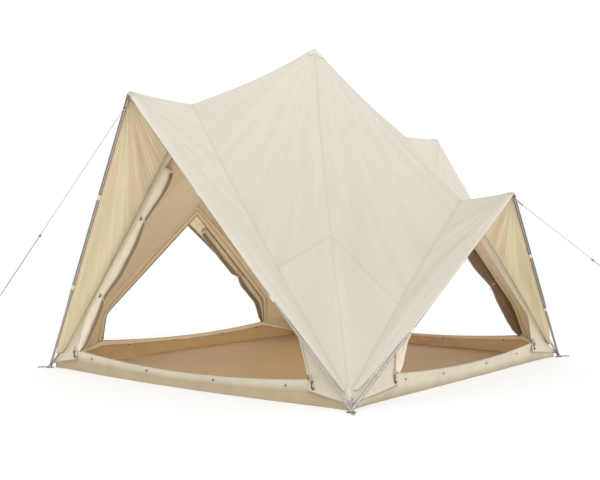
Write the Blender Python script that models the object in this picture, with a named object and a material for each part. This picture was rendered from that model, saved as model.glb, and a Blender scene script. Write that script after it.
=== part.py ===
"""A canvas lodge tent: four dormers on leaning steel A-frames round a centre pole, over a tub floor.

Metres, +Z up. The tent stands on z = 0 with its floor centred on the origin. Each side has an empty
at the origin that turns its own frame: x to the right of someone who faces that side from outside,
y inward. The tall dormers lie across x and the low ones across y. A point of a side is written for
its right half; the left half mirrors it.
"""
import math
from collections import namedtuple

import bmesh
import bpy
from mathutils import Matrix, Vector

# The plan: where the pole feet stand, and the roof's peak
HALF_X = 1.55
HALF_Y = 1.46
PEAK_Z = 2.59
FOOT_Z = 0.012                 # the leg axes of a corner meet this high
HEM_Z = 0.115                  # lower edge of the canopy at a corner
SEAM_FOOT = (1.472, 1.387)     # where a gore's centre seam meets that edge
SEAM_RISE = 0.06               # the seam's crown over a straight line
RIDGE_SAG = 0.03

Dormer = namedtuple(
    "Dormer",
    "span base reach apex_z saddle_reach saddle_z valley_foot valley_bow "
    "door_foot door_bend door_top sill floor_span floor_reach floor_bulge ties",
)
TALL = Dormer(
    span=HALF_Y, base=HALF_X, reach=2.00, apex_z=1.98, saddle_reach=1.43, saddle_z=1.955,
    valley_foot=(1.378, 1.490), valley_bow=-0.02, door_foot=(1.13, 0.165), door_bend=(1.04, 0.42),
    door_top=1.861, sill=0.12, floor_span=1.40, floor_reach=1.49, floor_bulge=0.095,
    ties={"upper": 0.46, "lower": 0.86},
)
LOW = Dormer(
    span=HALF_X, base=HALF_Y, reach=1.765, apex_z=1.345, saddle_reach=1.36, saddle_z=1.305,
    valley_foot=(1.455, 1.400), valley_bow=0.025, door_foot=(1.03, 0.17), door_bend=(1.00, 0.39),
    door_top=1.225, sill=0.125, floor_span=1.49, floor_reach=1.40, floor_bulge=0.01,
    ties={"middle": 0.64},
)
# name: (dormer, turn about Z in degrees, corner at its left end, corner at its right end)
SIDES = {
    "front_left": (TALL, -90, "left", "near"),
    "front_right": (LOW, 0, "near", "right"),
    "back_right": (TALL, 90, "right", "far"),
    "back_left": (LOW, 180, "far", "left"),
}
CORNERS = {"near": (-1, -1), "left": (-1, 1), "right": (1, -1), "far": (1, 1)}

# Steel poles
POLE_R = 0.0095
POLE_BORE = 0.0083
SPIGOT_R = 0.0071
SPIGOT_BORE = 0.0060
SPIGOT = 0.060
FOOT_ARM = 0.052               # from the corner point to the shoulder of a foot's spigot
BEND_R = 0.045
APEX_NECK = 0.025
EYE_R = 0.010
EYE_WIRE = 0.003
TUBE_SIDES = 8
GAP = 0.0003

CENTRE_R = 0.014
CENTRE_BORE = 0.0125
CENTRE_SPIGOT_R = 0.0112
CENTRE_SPIGOT_BORE = 0.0098
FERRULE_R = 0.020
PIN_R = 0.006
PIN_TOP = 2.575
CENTRE_TUBE_TOP = 2.545

# Cloth
CLOTH = 0.003
SEAM_TRIM = 0.0003             # clearance between cloths that meet at a seam
COVER = 0.0138                 # from a pole's axis to the middle of the cloth laid over it
HEM_WRAP = 0.010               # the hem reaches this far past the pole's axis
HEM_BAND = 0.022
HEM_DRAW = 0.035               # how far the hem draws in beside the pole at its foot
FOLD = 0.012
FOLD_COUNT = 3
ROWS = 6
SLOPE_COLUMNS = 5
GORE_COLUMNS = 4
SEAM_COLUMN = 1 + SLOPE_COLUMNS + GORE_COLUMNS
LOOP_LENGTH = 0.045
LOOP_R = (POLE_R + 0.0004) / math.cos(math.pi / TUBE_SIDES)  # its flats clear the pole
LOOPS_AT = (1 / 3, 2 / 3)
WALL_DROP = 0.012
ZIP_MARGIN = 0.03
FLOOR_INSET = 0.006            # the slab stops this far inside the tub's lower edge
CAP_REACH = 0.11
CAP_LIFT = 0.007
CAP_THICK = 0.0015

# Rolled doors, ties and toggles: (fraction of the sloping edge, radius), then the same past the bend
ROLL_OFFSET = 0.048
ROLL_SLOPING = [(0.15, 0.012), (0.21, 0.028), (0.33, 0.038), (0.58, 0.041), (0.72, 0.043), (0.95, 0.036)]
ROLL_FOOT = [(0.35, 0.034), (0.70, 0.024), (0.92, 0.015)]
TIE_PINCH = 0.025
TIE_BAND = 0.0016
TIE_LENGTH = 0.020
TOGGLE_R = 0.005
TOGGLE_LENGTH = 0.032

# Corner hardware
DISC_R = 0.030
BOSS_R = 0.015
LUG_HOLE = 0.009
LUG_RIM = 0.0145
LUG_AT = 0.036
STUD_R = 0.0065
STUDS_AT = (-0.95, -0.33, 0.33, 0.95)

# Guy lines: the peg's place on the ground and how far up the line the runner sits
Guy = namedtuple("Guy", "side peg runner_at")
GUYS = {
    "left": Guy("front_left", Vector((-3.22, 0.38, 0)), 1.25),
    "right": Guy("front_right", Vector((1.00, -3.07, 0)), 1.39),
}
ROPE_R = 0.002
WRAP_R = 0.0056                # rope's axis round the peg
PEG_R = 0.003
PEG_LENGTH = 0.20
PEG_POST = 0.045
WRAP_UP = 0.026                # how far up the post the rope turns
KNOT_PAST = 0.012              # the rope's tail stands this far past the runner
RUNNER_HALF = (0.0145, 0.007, 0.0025)
RUNNER_HOLE = 0.0026

# Finishes: colour, roughness, metallic
CANVAS = ((0.78, 0.73, 0.63), 0.9, 0.0)
LINING = ((0.66, 0.57, 0.41), 0.9, 0.0)
FLOOR = ((0.52, 0.40, 0.27), 0.8, 0.0)
STEEL = ((0.55, 0.54, 0.52), 0.35, 1.0)
BRASS = ((0.42, 0.36, 0.20), 0.4, 1.0)
DARK = ((0.05, 0.04, 0.035), 0.5, 0.0)
ROPE = ((0.60, 0.59, 0.56), 0.8, 0.0)


def clear_scene():
    for item in list(bpy.data.objects):
        bpy.data.objects.remove(item, do_unlink=True)


def side_frame(name):
    """The empty that turns a side's own frame into place."""
    frame = bpy.data.objects.new("frame_" + name, None)
    frame.rotation_euler.z = math.radians(SIDES[name][1])
    bpy.context.collection.objects.link(frame)
    return frame


def finish(name, mesh, look, parent=None, place=None):
    """Turn a bmesh into a named object with its own material, under its parent."""
    bmesh.ops.recalc_face_normals(mesh, faces=mesh.faces)
    data = bpy.data.meshes.new(name)
    mesh.to_mesh(data)
    mesh.free()
    data.shade_smooth()
    data.set_sharp_from_angle(angle=math.radians(35))
    return add_object(name, data, look, parent, place)


def add_object(name, data, look, parent=None, place=None):
    colour, roughness, metallic = look
    material = bpy.data.materials.new(name)
    material.use_nodes = True
    surface = material.node_tree.nodes["Principled BSDF"]
    surface.inputs["Base Color"].default_value = (*colour, 1)
    surface.inputs["Roughness"].default_value = roughness
    surface.inputs["Metallic"].default_value = metallic
    item = bpy.data.objects.new(name, data)
    item.data.materials.clear()
    item.data.materials.append(material)
    item.parent = parent
    if place is not None:
        item.matrix_local = place
    bpy.context.collection.objects.link(item)
    return item


def guide(name, mesh, parent=None, place=None):
    """A shape that only serves a Boolean."""
    item = finish(name, mesh, STEEL, parent, place)
    item.hide_render = True
    item.display_type = "WIRE"
    return item


def combine(item, tool, operation):
    boolean = item.modifiers.new(tool.name, "BOOLEAN")
    boolean.operation = operation
    boolean.solver = "EXACT"
    boolean.object = tool


def aim(origin, direction):
    """A frame at origin whose Z runs along direction."""
    return Matrix.Translation(origin) @ direction.to_track_quat("Z", "Y").to_matrix().to_4x4()


def upright(origin, along, across):
    """A frame whose Z runs along one direction and whose X lies nearest another."""
    z = along.normalized()
    y = z.cross(across).normalized()
    x = y.cross(z)
    return Matrix.Translation(origin) @ Matrix((x, y, z)).transposed().to_4x4()


def circle(frame, radius, height=0.0, sides=TUBE_SIDES):
    ring = []
    for step in range(sides):
        angle = math.tau * step / sides
        ring.append(frame @ Vector((radius * math.cos(angle), radius * math.sin(angle), height)))
    return ring


def loft(mesh, rings, closed=False):
    """Skin a row of rings; the ends are capped, or joined to each other when closed."""
    loops = [[mesh.verts.new(point) for point in ring] for ring in rings]
    pairs = list(zip(loops, loops[1:]))
    if closed:
        pairs.append((loops[-1], loops[0]))
    else:
        mesh.faces.new(loops[0])
        mesh.faces.new(loops[-1])
    for lower, upper in pairs:
        for index in range(len(lower)):
            after = (index + 1) % len(lower)
            mesh.faces.new((lower[index], lower[after], upper[after], upper[index]))


def turned(mesh, frame, profile, closed=False, sides=TUBE_SIDES):
    """Turn (radius, height) points about the frame's Z."""
    loft(mesh, [circle(frame, radius, height, sides) for radius, height in profile], closed)


def ring_tube(mesh, frame, inner, outer, length, sides=TUBE_SIDES):
    """A short tube centred on the frame."""
    half = length / 2
    turned(mesh, frame, [(outer, -half), (outer, half), (inner, half), (inner, -half)], True, sides)


def torus(mesh, frame, radius, wire, steps=10, sides=5):
    rings = []
    for step in range(steps):
        turn = frame @ Matrix.Rotation(math.tau * step / steps, 4, "Z")
        section = turn @ Matrix.Translation((radius, 0, 0)) @ Matrix.Rotation(math.pi / 2, 4, "X")
        rings.append(circle(section, wire, 0, sides))
    loft(mesh, rings, closed=True)


def grid_normals(grid):
    """Unit normals of a grid's points, each the mean of the faces round it."""
    rows, columns = len(grid), len(grid[0])
    normals = [[Vector() for _ in row] for row in grid]
    for r in range(rows - 1):
        for c in range(columns - 1):
            down = grid[r + 1][c] - grid[r][c + 1]
            across = grid[r + 1][c + 1] - grid[r][c]
            face = across.cross(down).normalized()
            for i, j in ((r, c), (r + 1, c), (r, c + 1), (r + 1, c + 1)):
                normals[i][j] += face
    return [[normal.normalized() for normal in row] for row in normals]


def sheet(mesh, grid, normals=None, thickness=CLOTH):
    """Close a grid of points into a thin solid of even thickness."""
    normals = normals or grid_normals(grid)
    skins = []
    for half in (thickness / 2, -thickness / 2):
        skin = []
        for points, directions in zip(grid, normals):
            skin.append([mesh.verts.new(p + n * half) for p, n in zip(points, directions)])
        skins.append(skin)
    rows, columns = len(grid), len(grid[0])
    for skin in skins:
        for r in range(rows - 1):
            for c in range(columns - 1):
                mesh.faces.new((skin[r][c], skin[r][c + 1], skin[r + 1][c + 1], skin[r + 1][c]))
    border = [(0, c) for c in range(columns)]
    border += [(r, columns - 1) for r in range(1, rows)]
    border += [(rows - 1, c) for c in range(columns - 2, -1, -1)]
    border += [(r, 0) for r in range(rows - 2, 0, -1)]
    top, bottom = skins
    for (r0, c0), (r1, c1) in zip(border, border[1:] + border[:1]):
        mesh.faces.new((top[r0][c0], top[r1][c1], bottom[r1][c1], bottom[r0][c0]))


def mirror_rows(rows, signs):
    mirror = Matrix.Diagonal((*signs, 1))
    return [[mirror @ point for point in row] for row in rows]


# The lines of a side, in its own frame

def wall_point(dormer, across, height):
    """A point of the door wall, which leans in from the ground line to the saddle."""
    lean = (dormer.base - dormer.saddle_reach) / dormer.saddle_z
    return Vector((across, lean * height - dormer.base, height))


def wall_outward(dormer):
    """Unit normal of the door wall, pointing outside."""
    rise = wall_point(dormer, 0, 1) - wall_point(dormer, 0, 0)
    return rise.cross(Vector((-1, 0, 0))).normalized()


def leg(dormer):
    """The right leg: its foot, the point where the two axes meet, and unit vectors down the pole,
    square out of the slope and across it towards the valley."""
    foot = Vector((dormer.span, -dormer.base, FOOT_Z))
    apex = Vector((0, -dormer.reach, dormer.apex_z))
    saddle = Vector((0, -dormer.saddle_reach, dormer.saddle_z))
    down = (foot - apex).normalized()
    ridge = (saddle - apex).normalized()
    out = ridge.cross(down).normalized()
    if out.z < 0:
        out.negate()
    across = (ridge - down * ridge.dot(down)).normalized()
    return foot, apex, down, out, across


def pole_edge(dormer, t, band=0.0):
    """A line of the slope's hem band, which lies along the pole and draws in beside it at the foot."""
    _, apex, down, out, across = leg(dormer)
    draw = max(0.0, (t - 0.65) / 0.35) ** 2
    start = apex + out * COVER + across * (HEM_DRAW * draw - HEM_WRAP + band * (1 - 0.8 * draw))
    top = -start.x / down.x
    bottom = (HEM_Z - start.z) / down.z
    return start + down * (top + (bottom - top) * t)


def valley(dormer, t, drop=0.0):
    """The seam where a dormer meets the roof, from the saddle down to the canopy's corner."""
    start = Vector((0, -dormer.saddle_reach, dormer.saddle_z))
    across, reach = dormer.valley_foot
    run = Vector((across, -reach, HEM_Z)) - start
    bow = run.cross(Vector((0, 0, 1))).cross(run).normalized() * dormer.valley_bow
    return start + run * t + bow * math.sin(math.pi * t) - Vector((0, 0, drop))


def slope_point(dormer, u, t):
    """The dormer's slope between pole and valley, with folds that fan out from the apex."""
    _, apex, down, out, _ = leg(dormer)
    point = pole_edge(dormer, t, HEM_BAND).lerp(valley(dormer, t), u)
    fan = (point - apex).angle(down) / math.radians(76) if t > 0 else 0
    depth = FOLD * math.sin(math.pi * u) ** 2 * math.sin(math.pi * t)
    return point + out * depth * math.sin(math.tau * FOLD_COUNT * fan)


def on_tall(point):
    """From a tall side's frame into the quadrant +x, +y."""
    return Vector((-point.y, point.x, point.z))


def on_low(point):
    return Vector((point.x, -point.y, point.z))


# Roof

def seam(t):
    start = Vector((0, 0, PEAK_Z))
    end = Vector((*SEAM_FOOT, HEM_Z))
    return start.lerp(end, t) + Vector((0, 0, SEAM_RISE * math.sin(math.pi * t)))


def gore_point(side_point, u, t):
    """The roof between a valley and the centre seam; its ridge sags a little at the top."""
    point = side_point.lerp(seam(t), u)
    point.z -= RIDGE_SAG * math.sin(math.pi * u) * (1 - t) ** 2
    return point


def roof_row(t):
    """One row of a quadrant's cloth, from the tall pole round to the low one."""
    tall_valley = on_tall(valley(TALL, t))
    low_valley = on_low(valley(LOW, t))
    row = [on_tall(pole_edge(TALL, t))]
    row += [on_tall(slope_point(TALL, i / SLOPE_COLUMNS, t)) for i in range(SLOPE_COLUMNS)]
    row += [gore_point(tall_valley, i / GORE_COLUMNS, t) for i in range(GORE_COLUMNS)]
    row += [gore_point(low_valley, 1 - i / GORE_COLUMNS, t) for i in range(GORE_COLUMNS)]
    row += [on_low(slope_point(LOW, 1 - i / SLOPE_COLUMNS, t)) for i in range(SLOPE_COLUMNS + 1)]
    return row + [on_low(pole_edge(LOW, t))]


def roof_grid():
    """The points and normals of the quadrant +x, +y; its ridges stop just short of their seams."""
    grid = [roof_row(r / ROWS) for r in range(ROWS + 1)]
    normals = grid_normals(grid)
    for c, (point, normal) in enumerate(zip(grid[0], normals[0])):
        if c <= SEAM_COLUMN:
            point.y = SEAM_TRIM
            normal.y = 0
        if c >= SEAM_COLUMN:
            point.x = SEAM_TRIM
            normal.x = 0
        normal.normalize()
    return grid, normals


def canopy_quadrant(name):
    """A gore with half a dormer on each side, and the webbing loops that hold it to the poles."""
    signs = CORNERS[name]
    grid, normals = roof_grid()
    mesh = bmesh.new()
    sheet(mesh, mirror_rows(grid, signs), mirror_rows(normals, signs))
    item = finish("canopy_" + name, mesh, CANVAS)
    loops = bmesh.new()
    mirror = Matrix.Diagonal((*signs, 1))
    for dormer, place in ((TALL, on_tall), (LOW, on_low)):
        foot, apex, down, out, _ = leg(dormer)
        for fraction in LOOPS_AT:
            centre = foot.lerp(apex, fraction)
            frame = upright(mirror @ place(centre), mirror @ place(down), mirror @ place(out))
            ring_tube(loops, frame, LOOP_R, COVER, LOOP_LENGTH)
    combine(item, guide("loops_" + name, loops), "UNION")


def peak_cap():
    """A pyramid patch over the peak that follows the roof's facets."""
    grid, _ = roof_grid()
    peak = Vector((0, 0, PEAK_Z))
    before, after = SEAM_COLUMN - 1, SEAM_COLUMN + 1
    spokes = [grid[0][before], grid[1][before], grid[1][SEAM_COLUMN], grid[1][after], grid[0][after]]
    quarter = [peak + (point - peak).normalized() * CAP_REACH for point in spokes]
    quarter[0].y = 0
    quarter[-1].x = 0
    rim = []
    for signs, order in (((1, 1), 1), ((-1, 1), -1), ((-1, -1), 1), ((1, -1), -1)):
        rim += mirror_rows([quarter[::order]], signs)[0][:-1]
    mesh = bmesh.new()
    skins = []
    for lift in (CAP_LIFT, CAP_LIFT + CAP_THICK):
        ring = [mesh.verts.new(point + Vector((0, 0, lift))) for point in rim]
        top = mesh.verts.new(peak + Vector((0, 0, lift)))
        for index, vertex in enumerate(ring):
            mesh.faces.new((vertex, ring[(index + 1) % len(ring)], top))
        skins.append(ring)
    for index in range(len(rim)):
        after = (index + 1) % len(rim)
        mesh.faces.new((skins[0][index], skins[0][after], skins[1][after], skins[1][index]))
    finish("peak_cap", mesh, CANVAS)


# Poles

def section_length(dormer):
    """Length of each of a leg's two equal pole sections."""
    foot, apex, _, _, _ = leg(dormer)
    return ((apex - foot).length - FOOT_ARM - apex_shoulder(dormer)) / 2


def apex_shoulder(dormer):
    """Distance down the leg from the axes' meeting point to the connector's shoulder."""
    _, _, down, _, _ = leg(dormer)
    return BEND_R / math.tan(math.asin(down.x)) + APEX_NECK


def section_profile(length, swaged):
    """A pole section; the lower one is drawn down at the top to plug into the upper."""
    if not swaged:
        return [(POLE_R, 0), (POLE_R, length - GAP), (POLE_BORE, length - GAP), (POLE_BORE, 0)]
    shoulder = length - GAP
    tip = length + SPIGOT
    return [
        (POLE_R, 0), (POLE_R, shoulder), (SPIGOT_R, shoulder), (SPIGOT_R, tip - 0.002),
        (SPIGOT_R - 0.0006, tip), (SPIGOT_BORE, tip), (SPIGOT_BORE, shoulder - 0.004),
        (POLE_BORE, shoulder - 0.010), (POLE_BORE, 0),
    ]


def side_poles(name, frame):
    """The two legs of an A-frame, each a lower and an upper tube."""
    dormer, _, left_corner, right_corner = SIDES[name]
    foot, _, down, _, _ = leg(dormer)
    length = section_length(dormer)
    for corner, sign in ((left_corner, -1), (right_corner, 1)):
        mirror = Matrix.Diagonal((sign, 1, 1))
        for index, part in enumerate(("lower", "upper")):
            start = foot - down * (FOOT_ARM + length * index)
            mesh = bmesh.new()
            turned(mesh, Matrix(), section_profile(length, part == "lower"), closed=True)
            place = aim(mirror @ start, mirror @ -down)
            finish(f"pole_{name}_{part}_{corner}", mesh, STEEL, frame, place)


def connector_middle(dormer):
    """Middle of the connector's bend, and the unit vector down the line between the legs."""
    _, apex, down, _, _ = leg(dormer)
    bisector = Vector((0, down.y, down.z)).normalized()
    return apex + bisector * (BEND_R / down.x - BEND_R), bisector


def eye_centre(dormer):
    """Middle of the guy eye welded under the outer side of the bend."""
    middle, _ = connector_middle(dormer)
    return middle + Vector((0, -0.6, -0.8)) * (POLE_R + EYE_R)


def apex_connector(name, frame):
    """The bent tube over the two legs, with a spigot into each and an eye for the guy line."""
    dormer = SIDES[name][0]
    _, apex, down, _, _ = leg(dormer)
    middle, bisector = connector_middle(dormer)
    centre = middle + bisector * BEND_R
    half_bend = math.pi / 2 - math.asin(down.x)
    across = Vector((1, 0, 0))
    shoulder = apex_shoulder(dormer)
    tail = [(shoulder + SPIGOT, SPIGOT_R - 0.0006), (shoulder + SPIGOT - 0.002, SPIGOT_R),
            (shoulder, SPIGOT_R), (shoulder, POLE_R)]
    mirror = Matrix.Diagonal((-1, 1, 1))
    stations = [(mirror @ (apex + down * distance), mirror @ -down, radius) for distance, radius in tail]
    for step in range(7):
        angle = half_bend * (step / 3 - 1)
        point = centre + (across * math.sin(angle) - bisector * math.cos(angle)) * BEND_R
        tangent = across * math.cos(angle) + bisector * math.sin(angle)
        stations.append((point, tangent, POLE_R))
    stations += [(apex + down * distance, down, radius) for distance, radius in reversed(tail)]
    side = across.cross(bisector)
    mesh = bmesh.new()
    loft(mesh, [circle(upright(point, tangent, side), radius) for point, tangent, radius in stations])
    item = finish("apex_" + name, mesh, STEEL, frame)
    eye = bmesh.new()
    torus(eye, upright(eye_centre(dormer), across, bisector), EYE_R, EYE_WIRE)
    combine(item, guide("eye_" + name, eye, frame), "UNION")


def corner_lines(signs):
    """A corner's foot point, its two upward leg directions, and the way to the canopy's corner."""
    sx, sy = signs
    mirror = Matrix.Diagonal((sx, sy, 1))
    foot = mirror @ Vector((HALF_X, HALF_Y, FOOT_Z))
    tall_up = mirror @ on_tall(-leg(TALL)[2])
    low_up = mirror @ on_low(-leg(LOW)[2])
    hem = mirror @ Vector((*SEAM_FOOT, HEM_Z))
    return foot, tall_up, low_up, hem - foot


def lug_outline(radius, stretch):
    """A round eye in the frame's XZ plane, drawn down into a stem when stretched."""
    points = []
    for step in range(12):
        angle = math.tau * step / 12
        drop = stretch if math.sin(angle) < -0.1 else 1.0
        points.append((radius * math.cos(angle), radius * math.sin(angle) * drop))
    return points


def corner_foot(name):
    """Ground disc and boss, welded to two angled spigots and an upright lug for the corner strap."""
    foot, tall_up, low_up, to_hem = corner_lines(CORNERS[name])
    mesh = bmesh.new()
    profile = [(DISC_R, 0), (DISC_R, 0.003), (DISC_R - 0.002, 0.004), (BOSS_R + 0.001, 0.005),
               (BOSS_R, 0.018), (BOSS_R - 0.005, 0.024)]
    turned(mesh, Matrix(), profile, sides=16)
    ground = Matrix.Translation((foot.x, foot.y, 0))
    item = finish("corner_foot_" + name, mesh, STEEL, place=ground)
    arm = [(POLE_R, 0), (POLE_R, FOOT_ARM - GAP), (SPIGOT_R, FOOT_ARM - GAP),
           (SPIGOT_R, FOOT_ARM + SPIGOT - 0.002), (SPIGOT_R - 0.0006, FOOT_ARM + SPIGOT)]
    for label, direction in (("tall", tall_up), ("low", low_up)):
        mesh = bmesh.new()
        turned(mesh, aim(foot, direction), arm)
        combine(item, guide(f"arm_{label}_{name}", mesh), "UNION")
    level = to_hem.cross(Vector((0, 0, 1))).normalized()
    along = to_hem.normalized()
    hole = upright(foot + along * LUG_AT, along.cross(level), level)
    rings = []
    for outline, height in ((lug_outline(LUG_RIM, 2.4), -0.0025), (lug_outline(LUG_RIM, 2.4), 0.0025),
                            (lug_outline(LUG_HOLE, 1.0), 0.0025), (lug_outline(LUG_HOLE, 1.0), -0.0025)):
        rings.append([hole @ Vector((x, -z, height)) for x, z in outline])
    mesh = bmesh.new()
    loft(mesh, rings, closed=True)
    combine(item, guide("lug_" + name, mesh), "UNION")


def centre_pole():
    """Two sections that stand on the floor under the peak; a pin at the top takes the cap."""
    base = CLOTH + GAP
    joint = (CENTRE_TUBE_TOP - base) / 2
    length = joint - GAP
    lower = [
        (FERRULE_R, 0), (FERRULE_R, 0.028), (CENTRE_R, 0.036), (CENTRE_R, length),
        (CENTRE_SPIGOT_R, length), (CENTRE_SPIGOT_R, length + 0.098),
        (CENTRE_SPIGOT_R - 0.001, length + 0.1), (CENTRE_SPIGOT_BORE, length + 0.1),
        (CENTRE_SPIGOT_BORE, 0),
    ]
    pin = PIN_TOP - CENTRE_TUBE_TOP + joint
    upper = [
        (CENTRE_R, 0), (CENTRE_R, joint), (PIN_R, joint + 0.004), (PIN_R, pin),
        (PIN_R - 0.003, pin), (PIN_R - 0.003, joint - 0.03), (CENTRE_BORE, joint - 0.04),
        (CENTRE_BORE, 0),
    ]
    for part, profile, height in (("lower", lower, base), ("upper", upper, base + joint)):
        mesh = bmesh.new()
        turned(mesh, Matrix(), profile, closed=True, sides=12)
        finish("centre_pole_" + part, mesh, STEEL, place=Matrix.Translation((0, 0, height)))


# Floor

def floor_edge(dormer, u):
    bulge = dormer.floor_bulge * (1 - (u / dormer.floor_span) ** 2)
    return Vector((u, -(dormer.floor_reach + bulge), 0))


def sill_top(dormer, u):
    """Top edge of the tub: it droops between the door's feet and runs down to the floor's corner."""
    foot, height = dormer.door_foot
    if u <= foot:
        return wall_point(dormer, u, dormer.sill + (height - dormer.sill) * (u / foot) ** 2)
    corner = floor_edge(dormer, dormer.floor_span) + Vector((0, 0, 0.03))
    return wall_point(dormer, foot, height).lerp(corner, (u - foot) / (dormer.floor_span - foot))


def groundsheet():
    """The floor slab inside the tub sides."""
    outline = []
    for name in ("front_left", "back_left", "back_right", "front_right"):
        dormer, turn, _, _ = SIDES[name]
        rotate = Matrix.Rotation(math.radians(turn), 3, "Z")
        for step in range(6):
            edge = floor_edge(dormer, dormer.floor_span * (1 - step / 3))
            outline.append(rotate @ (edge * (1 - FLOOR_INSET / dormer.floor_reach)))
    mesh = bmesh.new()
    loft(mesh, [outline, [point + Vector((0, 0, CLOTH)) for point in outline]])
    finish("groundsheet", mesh, FLOOR)


def tub_side(name, frame):
    """One upright side of the tub, with its row of press studs."""
    dormer = SIDES[name][0]
    near_stud, far_stud = STUDS_AT[2:]
    middle = (near_stud + far_stud) / 2
    stops = [0, near_stud, middle, far_stud, dormer.door_foot[0], dormer.floor_span - (CLOTH + 0.002)]
    grid = [[floor_edge(dormer, u) + Vector((0, 0, 0.0008)), sill_top(dormer, u)] for u in stops]
    mesh = bmesh.new()
    sheet(mesh, mirror_rows(grid[:0:-1], (-1, 1)) + grid)
    item = finish("tub_side_" + name, mesh, FLOOR, frame)
    studs = bmesh.new()
    for across in STUDS_AT:
        top = sill_top(dormer, abs(across))
        low = floor_edge(dormer, abs(across))
        face = (top - low).cross(Vector((-1, 0, 0))).normalized()
        seat = low.lerp(top, 0.72)
        seat.x = across
        high = CLOTH / 2 + 0.0025
        turned(studs, aim(seat, face), [(STUD_R, 0), (STUD_R, high - 0.001), (STUD_R - 0.003, high)])
    combine(item, guide("studs_" + name, studs, frame), "UNION")


# Door walls, rolled doors and their small parts

def bend_fraction(dormer):
    """Where the valley seam passes the height of the door's bend."""
    return (dormer.saddle_z - dormer.door_bend[1]) / (dormer.saddle_z - HEM_Z)


def door_wall(name, frame):
    """Inner wall round a doorway: a strip under each valley, widening to a gusset at each foot."""
    dormer = SIDES[name][0]
    split = bend_fraction(dormer)
    top = wall_point(dormer, 0, dormer.door_top)
    bend = wall_point(dormer, *dormer.door_bend)
    foot = door_foot(dormer)
    right_half = []
    for step in range(ROWS):
        t = step / (ROWS - 1)
        outer = valley(dormer, split * t, WALL_DROP)
        inner = top.lerp(bend, t)
        right_half.append([outer, outer.lerp(inner, 0.5), inner])
    margin = Vector((ZIP_MARGIN, 0, 0))  # flat beside the zip, for its slider
    right_half[-1][1] = bend + margin
    corner = floor_edge(dormer, dormer.floor_span) + Vector((-0.012, 0.002, 0.045))
    for outer, inner in ((valley(dormer, 0.985, WALL_DROP), bend.lerp(foot, 0.5)), (corner, foot)):
        right_half.append([outer, inner + margin, inner])
    mesh = bmesh.new()
    sheet(mesh, mirror_rows(right_half[:0:-1], (-1, 1)) + right_half)
    finish("wall_" + name, mesh, LINING, frame)


def door_foot(dormer):
    """Lower end of the opening's right edge, just clear of the sill."""
    across, height = dormer.door_foot
    return wall_point(dormer, across, height + 0.004)


def roll_point(dormer, fraction, past_bend=False):
    """Axis of the rolled door beside the left edge of the opening, and its direction."""
    top = wall_point(dormer, 0, dormer.door_top)
    bend = wall_point(dormer, *dormer.door_bend)
    start, end = (bend, door_foot(dormer)) if past_bend else (top, bend)
    along = (end - start).normalized()
    inside = along.cross(wall_outward(dormer)).normalized()
    if inside.x > 0:
        inside.negate()
    point = start.lerp(end, fraction) + inside * ROLL_OFFSET
    mirror = Matrix.Diagonal((-1, 1, 1))
    return mirror @ point, mirror @ along


def roll_stations(dormer):
    """(fraction, radius) down the sloping edge: the slack roll, pinched under each tie's band."""
    bend = wall_point(dormer, *dormer.door_bend)
    half = TIE_LENGTH / 2 / (bend - wall_point(dormer, 0, dormer.door_top)).length
    stations = list(ROLL_SLOPING)
    band = TIE_PINCH + TIE_BAND
    for tie in dormer.ties.values():
        stations = [station for station in stations if abs(station[0] - tie) > 0.05]
        stations += [(tie - 2 * half, TIE_PINCH), (tie - half, TIE_PINCH), (tie - half, band)]
        stations += [(tie + half, band), (tie + half, TIE_PINCH), (tie + 2 * half, TIE_PINCH)]
    return sorted(stations, key=lambda station: station[0])


def rolled_door(name, frame):
    """The door cloth rolled up along the opening's left edge, slack between its ties."""
    dormer = SIDES[name][0]
    outward = wall_outward(dormer)
    rings = []
    for stations, past_bend in ((roll_stations(dormer), False), (ROLL_FOOT, True)):
        for fraction, radius in stations:
            point, along = roll_point(dormer, fraction, past_bend)
            rings.append(circle(upright(point, along, outward), radius, sides=10))
    mesh = bmesh.new()
    loft(mesh, rings)
    finish("rolled_door_" + name, mesh, CANVAS, frame)


def toggles(name, frame):
    """Barrel toggles on the ties; each turns about the wall's normal through its middle."""
    dormer = SIDES[name][0]
    outward = wall_outward(dormer)
    half = TOGGLE_LENGTH / 2
    profile = [(TOGGLE_R - 0.0018, -half), (TOGGLE_R, 0.004 - half), (TOGGLE_R - 0.001, 0),
               (TOGGLE_R, half - 0.004), (TOGGLE_R - 0.0018, half)]
    stand_off = TIE_PINCH + TIE_BAND + TOGGLE_R + 0.0004
    for tie, fraction in dormer.ties.items():
        point, along = roll_point(dormer, fraction)
        mesh = bmesh.new()
        turned(mesh, Matrix(), profile)
        place = upright(point + outward * stand_off, along, outward)
        finish(f"toggle_{name}_{tie}", mesh, DARK, frame, place)


def zip_slider(name, frame):
    """A slider that straddles the gusset's edge at the door's right foot, with its pull tab."""
    dormer = SIDES[name][0]
    foot = door_foot(dormer)
    up = (wall_point(dormer, *dormer.door_bend) - foot).normalized()
    place = upright(foot + up * 0.016, up, wall_outward(dormer))
    slot = CLOTH / 2 + 0.0006
    body = [(0.0048, -0.005), (0.0048, 0.004), (-0.0048, 0.004), (-0.0048, -0.005),
            (-slot, -0.005), (-slot, 0.0008), (slot, 0.0008), (slot, -0.005)]
    open_side = 1 if place.col[1].x < 0 else -1
    mesh = bmesh.new()
    loft(mesh, [[Vector((x, open_side * y, z)) for x, y in body] for z in (-0.006, 0.006)])
    item = finish("zip_slider_" + name, mesh, BRASS, frame, place)
    tab = [(0.003, 0), (-0.003, 0), (-0.0045, -0.022), (-0.002, -0.028), (0.002, -0.028),
           (0.0045, -0.022)]
    pull = bmesh.new()
    loft(pull, [[Vector((x, y, z)) for y, z in tab] for x in (0.0040, 0.0060)])
    combine(item, guide("pull_" + name, pull, frame, place), "UNION")


# Guy lines

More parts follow.
